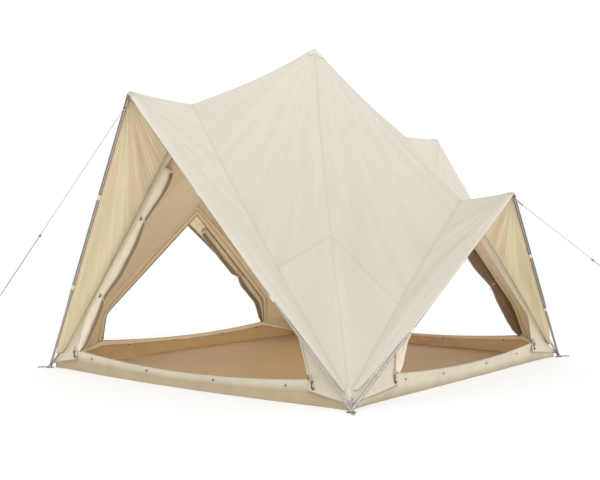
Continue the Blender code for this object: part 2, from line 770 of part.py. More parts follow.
def guy_route(guy):
    """Rope's points from the apex eye down to the peg, round it and back up to the runner's knot,
    with the wrap's centre and the directions down the line, across it and up the peg's post."""
    dormer, turn, _, _ = SIDES[guy.side]
    eye = Matrix.Rotation(math.radians(turn), 3, "Z") @ eye_centre(dormer)
    run = (guy.peg - eye).normalized()
    level = run.cross(Vector((0, 0, 1))).normalized()
    post = level.cross(run).normalized()
    if post.z < 0:
        post.negate()
    wrap = guy.peg + Vector((0, 0, PEG_R)) + post * WRAP_UP
    start = eye + run * (EYE_R + EYE_WIRE + ROPE_R + GAP)
    end = wrap + level * WRAP_R
    route = [start.lerp(end, step / 12) for step in range(12)]
    run = (end - start).normalized()
    for step in range(7):
        angle = math.pi * step / 6
        route.append(wrap + (level * math.cos(angle) + run * math.sin(angle)) * WRAP_R)
    back = guy.runner_at + KNOT_PAST
    route += [wrap - level * WRAP_R - run * back * step / 8 for step in range(1, 9)]
    return route, wrap, run, level, post


def guy_line(name):
    """A taut rope with its runner and its peg."""
    guy = GUYS[name]
    route, wrap, run, level, post = guy_route(guy)
    curve = bpy.data.curves.new("guy_rope_" + name, "CURVE")
    curve.dimensions = "3D"
    curve.bevel_depth = ROPE_R
    curve.bevel_resolution = 2
    curve.use_fill_caps = True
    spline = curve.splines.new("POLY")
    spline.points.add(len(route) - 1)
    for point, place in zip(spline.points, route):
        point.co = (*place, 1)
    add_object("guy_rope_" + name, curve, ROPE)
    guy_runner(name, upright(wrap - run * guy.runner_at, run, level))
    guy_peg(name, wrap, post, run)


def guy_runner(name, place):
    """An oval bar with two holes: the line runs through both strands' holes."""
    half_x, half_y, half_z = RUNNER_HALF
    outline = []
    for step in range(16):
        angle = math.tau * step / 16
        bulge = math.copysign(half_x - half_y, math.cos(angle)) if abs(math.cos(angle)) > 1e-6 else 0
        outline.append((half_y * math.cos(angle) + bulge, half_y * math.sin(angle)))
    mesh = bmesh.new()
    loft(mesh, [[Vector((x, y, z)) for x, y in outline] for z in (-half_z, half_z)])
    item = finish("guy_runner_" + name, mesh, DARK, place=place)
    for side, sign in (("down", 1), ("back", -1)):
        drill = place @ Matrix.Translation((sign * WRAP_R, 0, 0))
        mesh = bmesh.new()
        turned(mesh, drill, [(RUNNER_HOLE, -0.01), (RUNNER_HOLE, 0.01)])
        combine(item, guide(f"hole_{side}_{name}", mesh), "DIFFERENCE")


def guy_peg(name, wrap, post, run):
    """A bent wire peg laid on the ground, its post square to the line inside the rope's turn."""
    away = Vector((run.x, run.y, 0)).normalized()
    bend = wrap - post * WRAP_UP
    tip = bend - away * PEG_LENGTH
    head = bend + post * PEG_POST
    hook = head + post * 0.004
    points = [tip, tip + away * 0.02, bend - away * 0.012,
              bend - away * 0.003 + Vector((0, 0, 0.0004)), bend + post * 0.008,
              head, hook + away * 0.006, hook + away * 0.014]
    radii = [PEG_R * 0.3] + [PEG_R] * 7
    level = away.cross(Vector((0, 0, 1)))
    rings = []
    for index, (point, radius) in enumerate(zip(points, radii)):
        before = points[max(index - 1, 0)]
        after = points[min(index + 1, len(points) - 1)]
        rings.append(circle(upright(point, after - before, level), radius))
    mesh = bmesh.new()
    loft(mesh, rings)
    finish("guy_peg_" + name, mesh, STEEL)


def main():
    clear_scene()
    for name in SIDES:
        frame = side_frame(name)
        side_poles(name, frame)
        apex_connector(name, frame)
        door_wall(name, frame)
        rolled_door(name, frame)
        toggles(name, frame)
        zip_slider(name, frame)
        tub_side(name, frame)
    for name in CORNERS:
        corner_foot(name)
        canopy_quadrant(name)
    centre_pole()
    peak_cap()
    groundsheet()
    for name in GUYS:
        guy_line(name)


main()
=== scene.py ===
"""Cloth, cords and small fittings of a canvas lodge tent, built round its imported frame.

Metres, +Z up, in the frame's own axes. The plan repeats the sizes that the frame is built to. Each
side has its own frame: x to the right of someone who faces it from outside, y inward. A point of a
side is written for its right half, and the left half mirrors it. A quadrant of the roof is written
for +x, +y and mirrored to its corner.
"""
import math
from collections import namedtuple
from functools import lru_cache

import bmesh
import bpy
import numpy as np
from bpy.props import FloatProperty, FloatVectorProperty, IntProperty, PointerProperty
from mathutils import Matrix, Vector, noise


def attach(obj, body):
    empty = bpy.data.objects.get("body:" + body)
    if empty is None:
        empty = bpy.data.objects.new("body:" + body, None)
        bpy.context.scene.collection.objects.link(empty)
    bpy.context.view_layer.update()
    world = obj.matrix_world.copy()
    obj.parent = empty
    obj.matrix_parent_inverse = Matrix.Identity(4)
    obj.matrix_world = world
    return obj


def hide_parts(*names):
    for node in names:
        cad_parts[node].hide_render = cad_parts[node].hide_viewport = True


bl_info = {
    "name": "Lodge Tent",
    "version": (1, 0, 0),
    "blender": (4, 5, 0),
    "location": "View3D > Sidebar > Tent",
    "description": "Makes the cloth, cords and fittings of a canvas lodge tent round its frame",
    "category": "Add Mesh",
}

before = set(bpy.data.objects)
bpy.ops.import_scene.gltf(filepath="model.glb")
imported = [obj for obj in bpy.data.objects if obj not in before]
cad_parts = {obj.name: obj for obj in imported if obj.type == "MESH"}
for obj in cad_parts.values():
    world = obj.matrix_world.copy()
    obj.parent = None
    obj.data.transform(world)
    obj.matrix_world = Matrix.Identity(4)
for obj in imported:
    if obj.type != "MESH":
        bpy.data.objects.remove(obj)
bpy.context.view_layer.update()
BODY = "tent"

# The plan

PEAK_Z = 2.59
FOOT_Z = 0.012                  # the leg axes of a corner meet this high
HEM_Z = 0.115                   # lower edge of the canopy at a corner
HALF_X = 1.55
HALF_Y = 1.46
SEAM_FOOT = (1.472, 1.387)      # where a gore's centre seam meets that edge
SEAM_RISE = 0.06                # the seam's crown over a straight line
SEAM_BOW = (0.015, -0.019)      # and its bow in plan
RIDGE_SAG = 0.03
POLE_R = 0.0095

# The canopy's hem and the folds of its slopes
COVER = 0.0138                  # from a pole's axis out to the canvas over it
HEM_WRAP = math.radians(66)     # how far the hem wraps round the pole
HEM_TAIL = 0.004
FREE_EDGE = 0.3                 # share of the hem's section that is its tail
HEM_CREST = 0.85                # share of it where the slope starts
CREST_SHIFT = 0.012             # from the pole's axis across to the slope, at the top of the pole
CREST_DRAW = 0.0176             # and how much less than the hem that draws in at its foot
HEM_UNWRAPS = 0.60              # shares of the pole's length where the hem lets go of it,
HEM_DRAWS = 0.65                # and where it starts to draw in
APEX_ROUND = 0.020              # radius of a dormer's ridge at the apex
SADDLE_ROUND = 0.007            # and at the saddle
CROWN = 0.010
CROWN_REACH = 0.14
DORMER_SAG = 0.003
FOLD = 0.012
FOLD_COUNT = 3
FINE_FOLD = 0.0062
FINE_FOLD_COUNT = 8.3
FOLD_FAN = math.radians(76)     # the angle at the apex that the folds share

Dormer = namedtuple(
    "Dormer",
    "span base reach apex_z saddle_reach saddle_z valley_foot valley_bow "
    "door_foot door_bend door_top sill floor_span floor_reach floor_bulge ties hem_draw net_round "
    "roll_start pleats_from puff studs",
)
TALL = Dormer(
    span=HALF_Y, base=HALF_X, reach=2.00, apex_z=1.98, saddle_reach=1.43, saddle_z=1.978,
    valley_foot=(1.378, 1.490), valley_bow=-0.02, door_foot=(1.13, 0.165), door_bend=(1.04, 0.42),
    door_top=1.861, sill=0.104, floor_span=1.43, floor_reach=1.49, floor_bulge=0.095,
    ties=(0.46, 0.86), hem_draw=0.036, net_round=(74, 285), roll_start=0.215, pleats_from=0.5,
    puff=0.011, studs=(-0.95, -0.33, 0.33, 0.95),
)
LOW = Dormer(
    span=HALF_X, base=HALF_Y, reach=1.765, apex_z=1.345, saddle_reach=1.36, saddle_z=1.313,
    valley_foot=(1.455, 1.400), valley_bow=0.025, door_foot=(1.03, 0.17), door_bend=(1.00, 0.39),
    door_top=1.225, sill=0.125, floor_span=1.52, floor_reach=1.40, floor_bulge=0.01,
    ties=(0.64,), hem_draw=0.056, net_round=(95, 150), roll_start=0.12, pleats_from=0.55,
    puff=0.026, studs=(-0.905, -0.415, 0.235, 0.76),
)
SIDES = {
    "front_left": (TALL, -90),
    "front_right": (LOW, 0),
    "back_right": (TALL, 90),
    "back_left": (LOW, 180),
}
CORNERS = {"near": (-1, -1), "left": (-1, 1), "right": (1, -1), "far": (1, 1)}
LOOPS_AT = (1 / 3, 2 / 3)
STUD_RISE = 0.74                # share of a tub side's height
TUB_CORNER_Z = 0.042
EAR = 0.03                      # how far the floor reaches out at its corners

# How finely the roof is drawn, and where its kite patch starts down the three seams
HEM_STEPS = 6
SLOPE_STEPS = 24
GORE_STEPS = 42
ROOF_ROWS = 104
GORE_DROP = 2.4                 # about the length of a gore from peak to hem
PATCH_AT_SEAM = 0.644
PATCH_AT_VALLEY = {"tall": 0.60, "low": 0.61}

# How finely a half wall is drawn, down its outer and its inner edge
WALL_STEPS = 55
VALLEY_STEPS = 8
FLAP_STEPS = 8
SILL_STEPS = 12
GUSSET_STEPS = 4
WALL_COLUMNS = 10

# Rolled doors: (fraction of the edge, radius), from a roll's start, down the slope and past the bend
ROLL_OFFSET = 0.048
ROLL_HEAD = [(0, 0.024), (0.03, 0.037)]
ROLL_SLOPING = [(0.30, 0.041), (0.58, 0.042), (0.72, 0.044), (0.95, 0.040)]
ROLL_FOOT = [(0.35, 0.038), (0.70, 0.029), (1.0, 0.013)]
ROLL_FLAT = 0.92                # a roll is this deep for its width
TIE_PINCH = 0.025               # its radius under a tie band
TIE_REACH = 0.022               # how far the pinch reaches to each side of the band
HEM_SEWN = 0.055                # from a wall's edge to its stitched line
GUSSET_Z = 0.088
VALLEY_END = 0.985              # share of a valley seam where a wall's outer edge leaves it
GUSSET_CORNER = (0.006, -0.006, 0.036)  # from the floor's corner to the gusset's
WALL_DROP = 0.0016              # the walls hang this far under the valley seams
THICKNESS = {"cap": 0.0016, "door": 0.0012, "net": 0.0010, "net_roll": 0.0016, "wall": 0.0016,
             "floor": 0.0016, "tub": 0.0022}

# Guy lines: (side, peg, distance from the peg to the runner)
EYE_R = 0.010
EYE_WIRE = 0.003
ROPE_R = 0.002
WRAP_R = 0.0056
PEG_R = 0.003
WRAP_UP = 0.026
KNOT_PAST = 0.012
ROPE_STEP = 0.0022
KNOT_R = 0.0031
TOUCH_GAP = 0.0003              # what touching meshes keep between them
BEND_R = 0.045
GUYS = {
    "left": ("front_left", Vector((-3.22, 0.38, 0)), 1.25),
    "right": ("front_right", Vector((1.00, -3.07, 0)), 1.39),
}


class TentSizes(bpy.types.PropertyGroup):
    cloth: FloatProperty(
        name="Cloth", description="Thickness of the roof's canvas", default=0.0014, unit="LENGTH")
    creases: FloatProperty(
        name="Creases", description="Depth of the roof's pull creases against the fitted ones", default=1.0)
    seam: FloatProperty(
        name="Seam", description="Width of a flat-felled seam", default=0.012, unit="LENGTH")
    roll_turns: FloatProperty(
        name="Roll turns", description="How often a door is rolled round itself", default=7.5)
    sill_band: FloatProperty(
        name="Sill band", description="Share of a tub side that its top band covers", default=0.50,
        subtype="FACTOR")
    webbing: FloatProperty(name="Webbing", description="Width of the straps", default=0.025, unit="LENGTH")
    tooth_pitch: FloatProperty(
        name="Tooth pitch", description="Spacing of the zip teeth", default=0.0032, unit="LENGTH")
    stud: FloatProperty(name="Stud", description="Radius of the press studs", default=0.0065, unit="LENGTH")
    rope_lay: FloatProperty(
        name="Rope lay", description="Length of one turn of a rope's strands", default=0.014, unit="LENGTH")
    seed: IntProperty(name="Seed", description="Seed of the small irregularities", default=7)


def colour_property(name, description, *default):
    return FloatVectorProperty(name=name, description=description, subtype="COLOR", size=3, default=default)


class TentColours(bpy.types.PropertyGroup):
    canvas: colour_property("Canvas", "Outside of the roof", 0.645, 0.603, 0.508)
    # Painted light: the warm gold of the canvas seen from inside, brighter than the canvas outside, stands
    # for light shining through the cloth and makes up for the shade under the roof.
    lining: colour_property("Lining", "Underside of the roof", 0.830, 0.715, 0.500)
    # Painted shade: the door walls are given a tan darker and warmer than the roof's canvas, for the shade
    # they stand in under the dormers.
    wall: colour_property("Wall", "Door walls and rolled doors", 0.610, 0.545, 0.425)
    floor: colour_property("Floor", "Groundsheet", 0.560, 0.385, 0.200)
    sill: colour_property("Sill", "Upper band of the tub sides", 0.590, 0.540, 0.425)
    # Partly painted shade: the coated skirt is browner than the sill band, and is made darker still for the
    # shade on the lower part of the bulging tub sides.
    skirt: colour_property("Skirt", "Lower part of the tub sides", 0.430, 0.345, 0.225)
    webbing: colour_property("Webbing", "Straps and loops", 0.680, 0.620, 0.510)
    net: colour_property("Net", "Insect net", 0.300, 0.215, 0.140)
    zip: colour_property("Zip", "Zip coils", 0.270, 0.170, 0.090)
    steel: colour_property("Steel", "Poles and feet", 0.455, 0.438, 0.420)
    brass: colour_property("Brass", "Rings and hooks", 0.240, 0.165, 0.085)
    fitting: colour_property("Fitting", "Dark studs, rings and toggles", 0.045, 0.036, 0.030)
    rope: colour_property("Rope", "Guy ropes", 0.420, 0.375, 0.310)


def sizes():
    return bpy.context.scene.tent_sizes


def colours():
    return bpy.context.scene.tent_colours


# Lines of a side and of the roof

def clamped(value):
    return max(0.0, min(1.0, value))


def mirror(point, sign=-1):
    return Vector((sign * point.x, point.y, point.z))


def upward(way):
    return -way if way.z < 0 else way


def side_turn(side):
    return Matrix.Rotation(math.radians(SIDES[side][1]), 4, "Z")


def side_frame(side):
    return SIDES[side][0], side_turn(side)


def wall_point(dormer, across, height):
    lean = (dormer.base - dormer.saddle_reach) / dormer.saddle_z
    return Vector((across, lean * height - dormer.base, height))


def wall_outward(dormer):
    rise = wall_point(dormer, 0, 1) - wall_point(dormer, 0, 0)
    return rise.cross(Vector((-1, 0, 0))).normalized()


@lru_cache
def leg(dormer):
    """The right leg's foot, the point where the two axes meet, and unit vectors down it, square out
    of the slope and across it towards the valley."""
    foot = Vector((dormer.span, -dormer.base, FOOT_Z))
    apex = Vector((0, -dormer.reach, dormer.apex_z))
    saddle = Vector((0, -dormer.saddle_reach, dormer.saddle_z))
    down = (foot - apex).normalized()
    ridge = (saddle - apex).normalized()
    out = upward(ridge.cross(down).normalized())
    across = (ridge - down * ridge.dot(down)).normalized()
    return foot, apex, down, out, across


def along_pole(dormer, t, offset):
    """A line beside the pole, from the dormer's middle plane down to the canopy's hem."""
    _, apex, down, _, _ = leg(dormer)
    start = apex + offset
    top = -start.x / down.x
    bottom = (HEM_Z - start.z) / down.z
    return start + down * (top + (bottom - top) * t)


def drawn_in(t):
    """How far the hem has drawn in beside the pole, from 0 where it wraps it to 1 at its foot."""
    return max(0.0, (t - HEM_DRAWS) / (1 - HEM_DRAWS)) ** 2


def crest(dormer, t):
    _, _, _, out, across = leg(dormer)
    shift = CREST_SHIFT + (dormer.hem_draw - CREST_DRAW) * drawn_in(t)
    return along_pole(dormer, t, out * COVER + across * shift)


def hem_point(dormer, f, t):
    """The hem's section: its free edge (0) beside the pole, over the pole, to the slope's crest (1)."""
    _, _, _, out, across = leg(dormer)
    shift = across * dormer.hem_draw * drawn_in(t)
    if f > HEM_CREST:
        return along_pole(dormer, t, out * COVER + shift).lerp(crest(dormer, t), 0.5)
    wrap = 1 - clamped((t - HEM_UNWRAPS) / 0.25)
    angle = HEM_WRAP * wrap * min(1.0, 1 - (f - FREE_EDGE) / 0.6)
    tail = HEM_TAIL * max(0.0, 1 - f / FREE_EDGE)
    side = out * math.cos(angle) - across * math.sin(angle)
    run = -across * math.cos(angle) - out * math.sin(angle)
    return along_pole(dormer, t, side * COVER + run * tail + shift)


def valley(dormer, t, drop=0.0):
    """The seam where a dormer meets the roof, from the saddle down to the canopy's corner."""
    start = Vector((0, -dormer.saddle_reach, dormer.saddle_z))
    across, reach = dormer.valley_foot
    run = Vector((across, -reach, HEM_Z)) - start
    bow = run.cross(Vector((0, 0, 1))).cross(run).normalized() * dormer.valley_bow
    return start + run * t + bow * math.sin(math.pi * t) - Vector((0, 0, drop))


def slope_point(dormer, u, t):
    """The dormer's slope, with its main folds fanning out from the apex and finer ones between."""
    _, apex, down, out, _ = leg(dormer)
    point = crest(dormer, t).lerp(valley(dormer, t), u)
    fan = (point - apex).angle(down) / FOLD_FAN if t > 0 else 0
    width = math.sin(math.pi * u)
    main = FOLD * width ** 2 * math.sin(math.pi * t) * math.sin(math.tau * FOLD_COUNT * fan)
    fine = FINE_FOLD * width * math.sin(math.tau * (FINE_FOLD_COUNT * fan + 0.2))
    fine *= math.exp(-2.2 * t) * min(1.0, 12 * t)
    return point + out * (main + fine * sizes().creases)


def soften(dormer, point):
    """Round the dormer's ridge, crown it behind the bent apex and let it sag towards the saddle."""
    share = clamped((dormer.reach + point.y) / (dormer.reach - dormer.saddle_reach))
    radius = APEX_ROUND + (SADDLE_ROUND - APEX_ROUND) * min(1.0, share * 1.6)
    away = abs(point.x)
    if away < radius:
        point.z -= (radius - away) ** 2 / (2 * radius) * 1.3
    crown = CROWN * math.exp(-((share - 0.07) / 0.10) ** 2)
    sag = DORMER_SAG * math.sin(math.pi * max(0.0, share - 0.25) / 0.75)
    point.z += (crown - sag) * max(0.0, 1 - away / CROWN_REACH) ** 2
    return point


def on_tall(point):
    return Vector((-point.y, point.x, point.z))


def on_low(point):
    return Vector((point.x, -point.y, point.z))


HALVES = {"tall": (TALL, on_tall), "low": (LOW, on_low)}


def seam(t):
    start = Vector((0, 0, PEAK_Z))
    end = Vector((*SEAM_FOOT, HEM_Z))
    return start.lerp(end, t) + Vector((*SEAM_BOW, SEAM_RISE)) * math.sin(math.pi * t)


def gore_point(side_point, u, t):
    point = side_point.lerp(seam(t), u)
    point.z -= RIDGE_SAG * math.sin(math.pi * u) * (1 - t) ** 2
    return point


def floor_edge(dormer, u):
    """The floor's edge on a side, which ends in an ear towards the corner's foot."""
    share = u / dormer.floor_span
    return Vector((u, -(dormer.floor_reach + dormer.floor_bulge * (1 - share ** 2) + EAR * share ** 12), 0))


def sill_top(dormer, u):
    foot, height = dormer.door_foot
    if u <= foot:
        return wall_point(dormer, u, dormer.sill + (height - dormer.sill) * (u / foot) ** 2)
    corner = floor_edge(dormer, dormer.floor_span) + Vector((0, 0, TUB_CORNER_Z))
    return wall_point(dormer, foot, height).lerp(corner, (u - foot) / (dormer.floor_span - foot))


def door_foot(dormer):
    across, height = dormer.door_foot
    return wall_point(dormer, across, height + 0.004)


def door_slope(dormer):
    """The ends of the doorway's sloping edge: its top and its bend."""
    return wall_point(dormer, 0, dormer.door_top), wall_point(dormer, *dormer.door_bend)


def into_doorway(dormer, along):
    """Unit vector in the wall from an edge on the right half into the opening."""
    inside = along.cross(wall_outward(dormer)).normalized()
    return -inside if inside.x > 0 else inside


def roll_away(radius):
    """How far inside the doorway's edge the middle of a roll lies."""
    return min(ROLL_OFFSET, 1.1 * radius + 0.006)


# Meshes

def linked(name, data):
    item = bpy.data.objects.new(name, data)
    bpy.context.scene.collection.objects.link(item)
    return item


def make_object(name, points, faces, materials):
    data = bpy.data.meshes.new(name)
    data.from_pydata([tuple(p) for p in points], [], faces)
    for material in materials:
        data.materials.append(material)
    data.polygons.foreach_set("use_smooth", [True] * len(faces))
    return linked(name, data)


def settle(item, slot, *nodes):
    """Fix a finished piece to the tent and hide the nodes it stands for; the finish given as slot is not
    used.
    """
    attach(item, BODY)
    if nodes:
        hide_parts(*nodes)


def steps_along(points):
    total = [0.0]
    for a, b in zip(points, points[1:]):
        total.append(total[-1] + (b - a).length)
    return total


def grid_object(name, rows, materials, closed=False, caps=False):
    """Skin a grid of points; the cloth UV map runs in metres across and along its middle."""
    count = len(rows[0])
    points = [p for row in rows for p in row]
    middle = rows[len(rows) // 2]
    across = steps_along(middle + middle[:1] if closed else middle)
    along = steps_along([row[count // 2] for row in rows])
    faces, corners = [], []
    for r in range(len(rows) - 1):
        for c in range(count if closed else count - 1):
            after = (c + 1) % count
            faces.append([r * count + c, r * count + after, (r + 1) * count + after, (r + 1) * count + c])
            corners += [(across[c], along[r]), (across[c + 1], along[r]),
                        (across[c + 1], along[r + 1]), (across[c], along[r + 1])]
    if closed and caps:
        first = list(range(count))
        last = [(len(rows) - 1) * count + c for c in range(count)]
        faces += [first[::-1], last]
        corners += [(0.0, 0.0)] * (2 * count)
    item = make_object(name, points, faces, materials)
    layer = item.data.uv_layers.new(name="cloth")
    layer.data.foreach_set("uv", [value for corner in corners for value in corner])
    return item


def mark_points(item, label, values):
    item.data.attributes.new(label, "FLOAT", "POINT").data.foreach_set("value", values)


def face_toward(item, way):
    """Turn the faces so that those in the middle look the given way."""
    if item.data.polygons[len(item.data.polygons) // 2].normal.dot(way) < 0:
        item.data.flip_normals()


def thicken(item, thickness, inside=False, offset=0.0):
    """Give a cloth its thickness; its back takes the next material when asked."""
    solid = item.modifiers.new("thickness", "SOLIDIFY")
    solid.thickness = thickness
    solid.offset = offset
    if inside:
        solid.material_offset = 1


def section_frames(points, toward):
    """At each point, the direction square to the path nearest the given one, and the one beside it."""
    frames = []
    for index, point in enumerate(points):
        before = points[max(index - 1, 0)]
        after = points[min(index + 1, len(points) - 1)]
        tangent = (after - before).normalized()
        hint = toward[index] if isinstance(toward, list) else toward
        face = (hint - tangent * hint.dot(tangent)).normalized()
        frames.append((point, face, tangent.cross(face)))
    return frames


def sweep(name, points, toward, profile, material):
    """Carry a closed profile of (side, face) points along a path."""
    rows = [[point + side * a + face * b for a, b in profile]
            for point, face, side in section_frames(points, toward)]
    item = grid_object(name, rows, [material], closed=True, caps=True)
    recalculate(item)
    return item


def recalculate(item):
    mesh = bmesh.new()
    mesh.from_mesh(item.data)
    bmesh.ops.remove_doubles(mesh, verts=mesh.verts, dist=1e-6)
    bmesh.ops.recalc_face_normals(mesh, faces=mesh.faces)
    mesh.to_mesh(item.data)
    mesh.free()


def strap_profile(width, thickness):
    """A flat strap's section with soft edges."""
    w, t = width / 2, thickness / 2
    return [(-w, 0), (-w + t, -t), (0, -t), (w - t, -t), (w, 0), (w - t, t), (0, t), (-w + t, t)]


def round_profile(radius, sides=8):
    return [(radius * math.cos(math.tau * k / sides), radius * math.sin(math.tau * k / sides))
            for k in range(sides)]


def turned_rows(profile, sides):
    """Circles about Z for the (radius, height) points of a turned profile."""
    return [[Vector((*spot, height)) for spot in round_profile(radius, sides)] for radius, height in profile]


def smooth_path(points, steps=6):
    """A Catmull-Rom curve through the points."""
    ends = [points[0] * 2 - points[1]] + list(points) + [points[-1] * 2 - points[-2]]
    path = []
    for a, b, c, d in zip(ends, ends[1:], ends[2:], ends[3:]):
        for step in range(steps):
            t = step / steps
            path.append(0.5 * ((2 * b) + (c - a) * t + (2 * a - 5 * b + 4 * c - d) * t ** 2
                               + (3 * b - a - 3 * c + d) * t ** 3))
    path.append(points[-1].copy())
    return path


def join_objects(name, items):
    """Join pieces into the first one."""
    first = items[0]
    with bpy.context.temp_override(active_object=first, selected_editable_objects=items, object=first):
        bpy.ops.object.join()
    first.name = name
    first.data.name = name
    return first


# Shader and geometry trees

VALUE, VECTOR, COLOUR = "NodeSocketFloat", "NodeSocketVector", "NodeSocketColor"
GEOMETRY, MATERIAL = "NodeSocketGeometry", "NodeSocketMaterial"


def add(tree, kind, options=None, inputs=None):
    """Add a node; an input is a value, or the socket that feeds it."""
    item = tree.nodes.new(kind)
    for key, value in (options or {}).items():
        setattr(item, key, value)
    for key, value in (inputs or {}).items():
        if isinstance(value, bpy.types.NodeSocket):
            tree.links.new(value, item.inputs[key])
        else:
            item.inputs[key].default_value = value
    return item


def math_node(tree, operation, a, b=0.0, clamp=False):
    options = {"operation": operation, "use_clamp": clamp}
    return add(tree, "ShaderNodeMath", options, {0: a, 1: b}).outputs[0]


def times(tree, a, b):
    return math_node(tree, "MULTIPLY", a, b)


def plus(tree, a, b):
    return math_node(tree, "ADD", a, b)


def minus(tree, a, b):
    return math_node(tree, "SUBTRACT", a, b)


def vector_node(tree, operation, inputs):
    return add(tree, "ShaderNodeVectorMath", {"operation": operation}, inputs).outputs[0]


def ramp(tree, value, low, high, to_low=0.0, to_high=1.0):
    """A smooth step from one value to another."""
    inputs = {"Value": value, "From Min": low, "From Max": high, "To Min": to_low, "To Max": to_high}
    return add(tree, "ShaderNodeMapRange", {"interpolation_type": "SMOOTHSTEP"}, inputs).outputs[0]


def mix_colour(tree, factor, a, b, blend="MIX"):
    options = {"data_type": "RGBA", "blend_type": blend}
    return add(tree, "ShaderNodeMix", options, {"Factor": factor, 6: a, 7: b}).outputs[2]


def noise_at(tree, place, scale, detail, **more):
    inputs = {"Vector": place, "Scale": scale, "Detail": detail, **more}
    return add(tree, "ShaderNodeTexNoise", inputs=inputs).outputs[0]


def new_group(name, kind, inputs, outputs):
    """A node group with its sockets; returns it with its inner ends."""
    group = bpy.data.node_groups.new(name, kind)
    for label, socket_type, default in inputs:
        socket = group.interface.new_socket(name=label, in_out="INPUT", socket_type=socket_type)
        if default is not None:
            socket.default_value = default
    for label, socket_type in outputs:
        group.interface.new_socket(name=label, in_out="OUTPUT", socket_type=socket_type)
    source = group.nodes.new("NodeGroupInput")
    target = group.nodes.new("NodeGroupOutput")
    return group, source.outputs, target.inputs


def weave_group():
    """A plain weave: height and shade of threads that cross, with slubs."""
    group, given, out = new_group(
        "plain_weave", "ShaderNodeTree",
        [("Vector", VECTOR, None), ("Threads per metre", VALUE, 900.0)],
        [("Height", VALUE), ("Shade", VALUE)])
    split = add(group, "ShaderNodeSeparateXYZ", inputs={0: given["Vector"]})
    turns = times(group, given["Threads per metre"], math.pi)
    warp = math_node(group, "SINE", times(group, split.outputs[0], turns))
    weft = math_node(group, "SINE", times(group, split.outputs[1], turns))
    group.links.new(times(group, warp, weft), out["Height"])
    slubs = []
    for stretch in ((240, 9, 1), (9, 240, 1)):
        place = add(group, "ShaderNodeMapping", inputs={"Vector": given["Vector"], "Scale": stretch})
        slubs.append(noise_at(group, place.outputs[0], 1.0, 2.0))
    group.links.new(times(group, plus(group, *slubs), 0.5), out["Shade"])
    return group


def mottle_group():
    """Soft, slow changes of tone over a surface."""
    group, given, out = new_group(
        "soft_mottle", "ShaderNodeTree",
        [("Vector", VECTOR, None), ("Colour", COLOUR, (0.5, 0.5, 0.5, 1)),
         ("Amount", VALUE, 0.05), ("Scale", VALUE, 2.0)],
        [("Colour", COLOUR)])
    cloud = noise_at(group, given["Vector"], given["Scale"], 5.0, Roughness=0.6)
    share = plus(group, times(group, minus(group, cloud, 0.5), given["Amount"]), 1.0)
    group.links.new(shaded(group, given["Colour"], share), out["Colour"])
    return group


def seam_group():
    """A sewn seam: a dark line on the fold, and a raised band with a stitch line at its edge."""
    group, given, out = new_group(
        "felled_seam", "ShaderNodeTree",
        [("Distance", VALUE, 1.0), ("Width", VALUE, 0.012)],
        [("Line", VALUE), ("Height", VALUE)])
    away = math_node(group, "ABSOLUTE", given["Distance"])
    fold = ramp(group, away, 0.0012, 0.0042, 1.0, 0.0)
    from_edge = math_node(group, "ABSOLUTE", minus(group, away, given["Width"]))
    stitch = times(group, ramp(group, from_edge, 0.0006, 0.0026, 1.0, 0.0), 0.45)
    group.links.new(math_node(group, "MAXIMUM", fold, stitch), out["Line"])
    outer = plus(group, given["Width"], 0.002)
    group.links.new(ramp(group, away, given["Width"], outer, 1.0, 0.0), out["Height"])
    return group


def streak_group():
    """Pull creases that fan out from a point: the map's x is an angle, its y a distance."""
    group, given, out = new_group(
        "fan_streaks", "ShaderNodeTree",
        [("Vector", VECTOR, None), ("Count", VALUE, 14.0),
         ("Stretch", VALUE, 0.9)],
        [("Height", VALUE)])
    scale = add(group, "ShaderNodeCombineXYZ", inputs={0: given["Count"], 1: given["Stretch"], 2: 1.0})
    place = vector_node(group, "MULTIPLY", {0: given["Vector"], 1: scale.outputs[0]})
    band = noise_at(group, place, 1.0, 3.0, Roughness=0.55, Distortion=0.3)
    group.links.new(band, out["Height"])
    return group


def wear_group():
    """Fine scuffs along a drawn or cast surface: a mask and a height."""
    group, given, out = new_group(
        "drawn_scuffs", "ShaderNodeTree",
        [("Vector", VECTOR, None), ("Scale", VALUE, 60.0)],
        [("Mask", VALUE), ("Height", VALUE)])
    speck = noise_at(group, given["Vector"], given["Scale"], 6.0, Roughness=0.7)
    group.links.new(ramp(group, speck, 0.48, 0.68), out["Mask"])
    group.links.new(speck, out["Height"])
    return group


GROUPS = {}


def group_node(tree, name, inputs):
    """Place a shader group, made the first time it is asked for."""
    makers = {"weave": weave_group, "mottle": mottle_group, "seam": seam_group,
              "streaks": streak_group, "wear": wear_group}
    if name not in GROUPS:
        GROUPS[name] = makers[name]()
    return add(tree, "ShaderNodeGroup", {"node_tree": GROUPS[name]}, inputs)


def new_material(name, roughness, metallic=0.0, sheen=0.0):
    material = bpy.data.materials.new(name)
    material.use_nodes = True
    tree = material.node_tree
    surface = tree.nodes["Principled BSDF"]
    surface.inputs["Roughness"].default_value = roughness
    surface.inputs["Metallic"].default_value = metallic
    surface.inputs["Sheen Weight"].default_value = sheen
    surface.inputs["Sheen Roughness"].default_value = 0.6
    return material, tree, surface.inputs


def rgba(colour, factor=1.0):
    return (*(min(1.0, channel * factor) for channel in colour), 1)


def attribute(tree, name):
    return add(tree, "ShaderNodeAttribute", {"attribute_name": name}).outputs["Fac"]


def set_bump(tree, surface, height, strength=0.8, distance=1.0):
    inputs = {"Strength": strength, "Distance": distance, "Height": height}
    tree.links.new(add(tree, "ShaderNodeBump", inputs=inputs).outputs[0], surface["Normal"])


def shaded(tree, colour, share):
    """A colour times a grey."""
    tone = add(tree, "ShaderNodeCombineColor", inputs={0: share, 1: share, 2: share}).outputs[0]
    return mix_colour(tree, 1.0, colour, tone, "MULTIPLY")


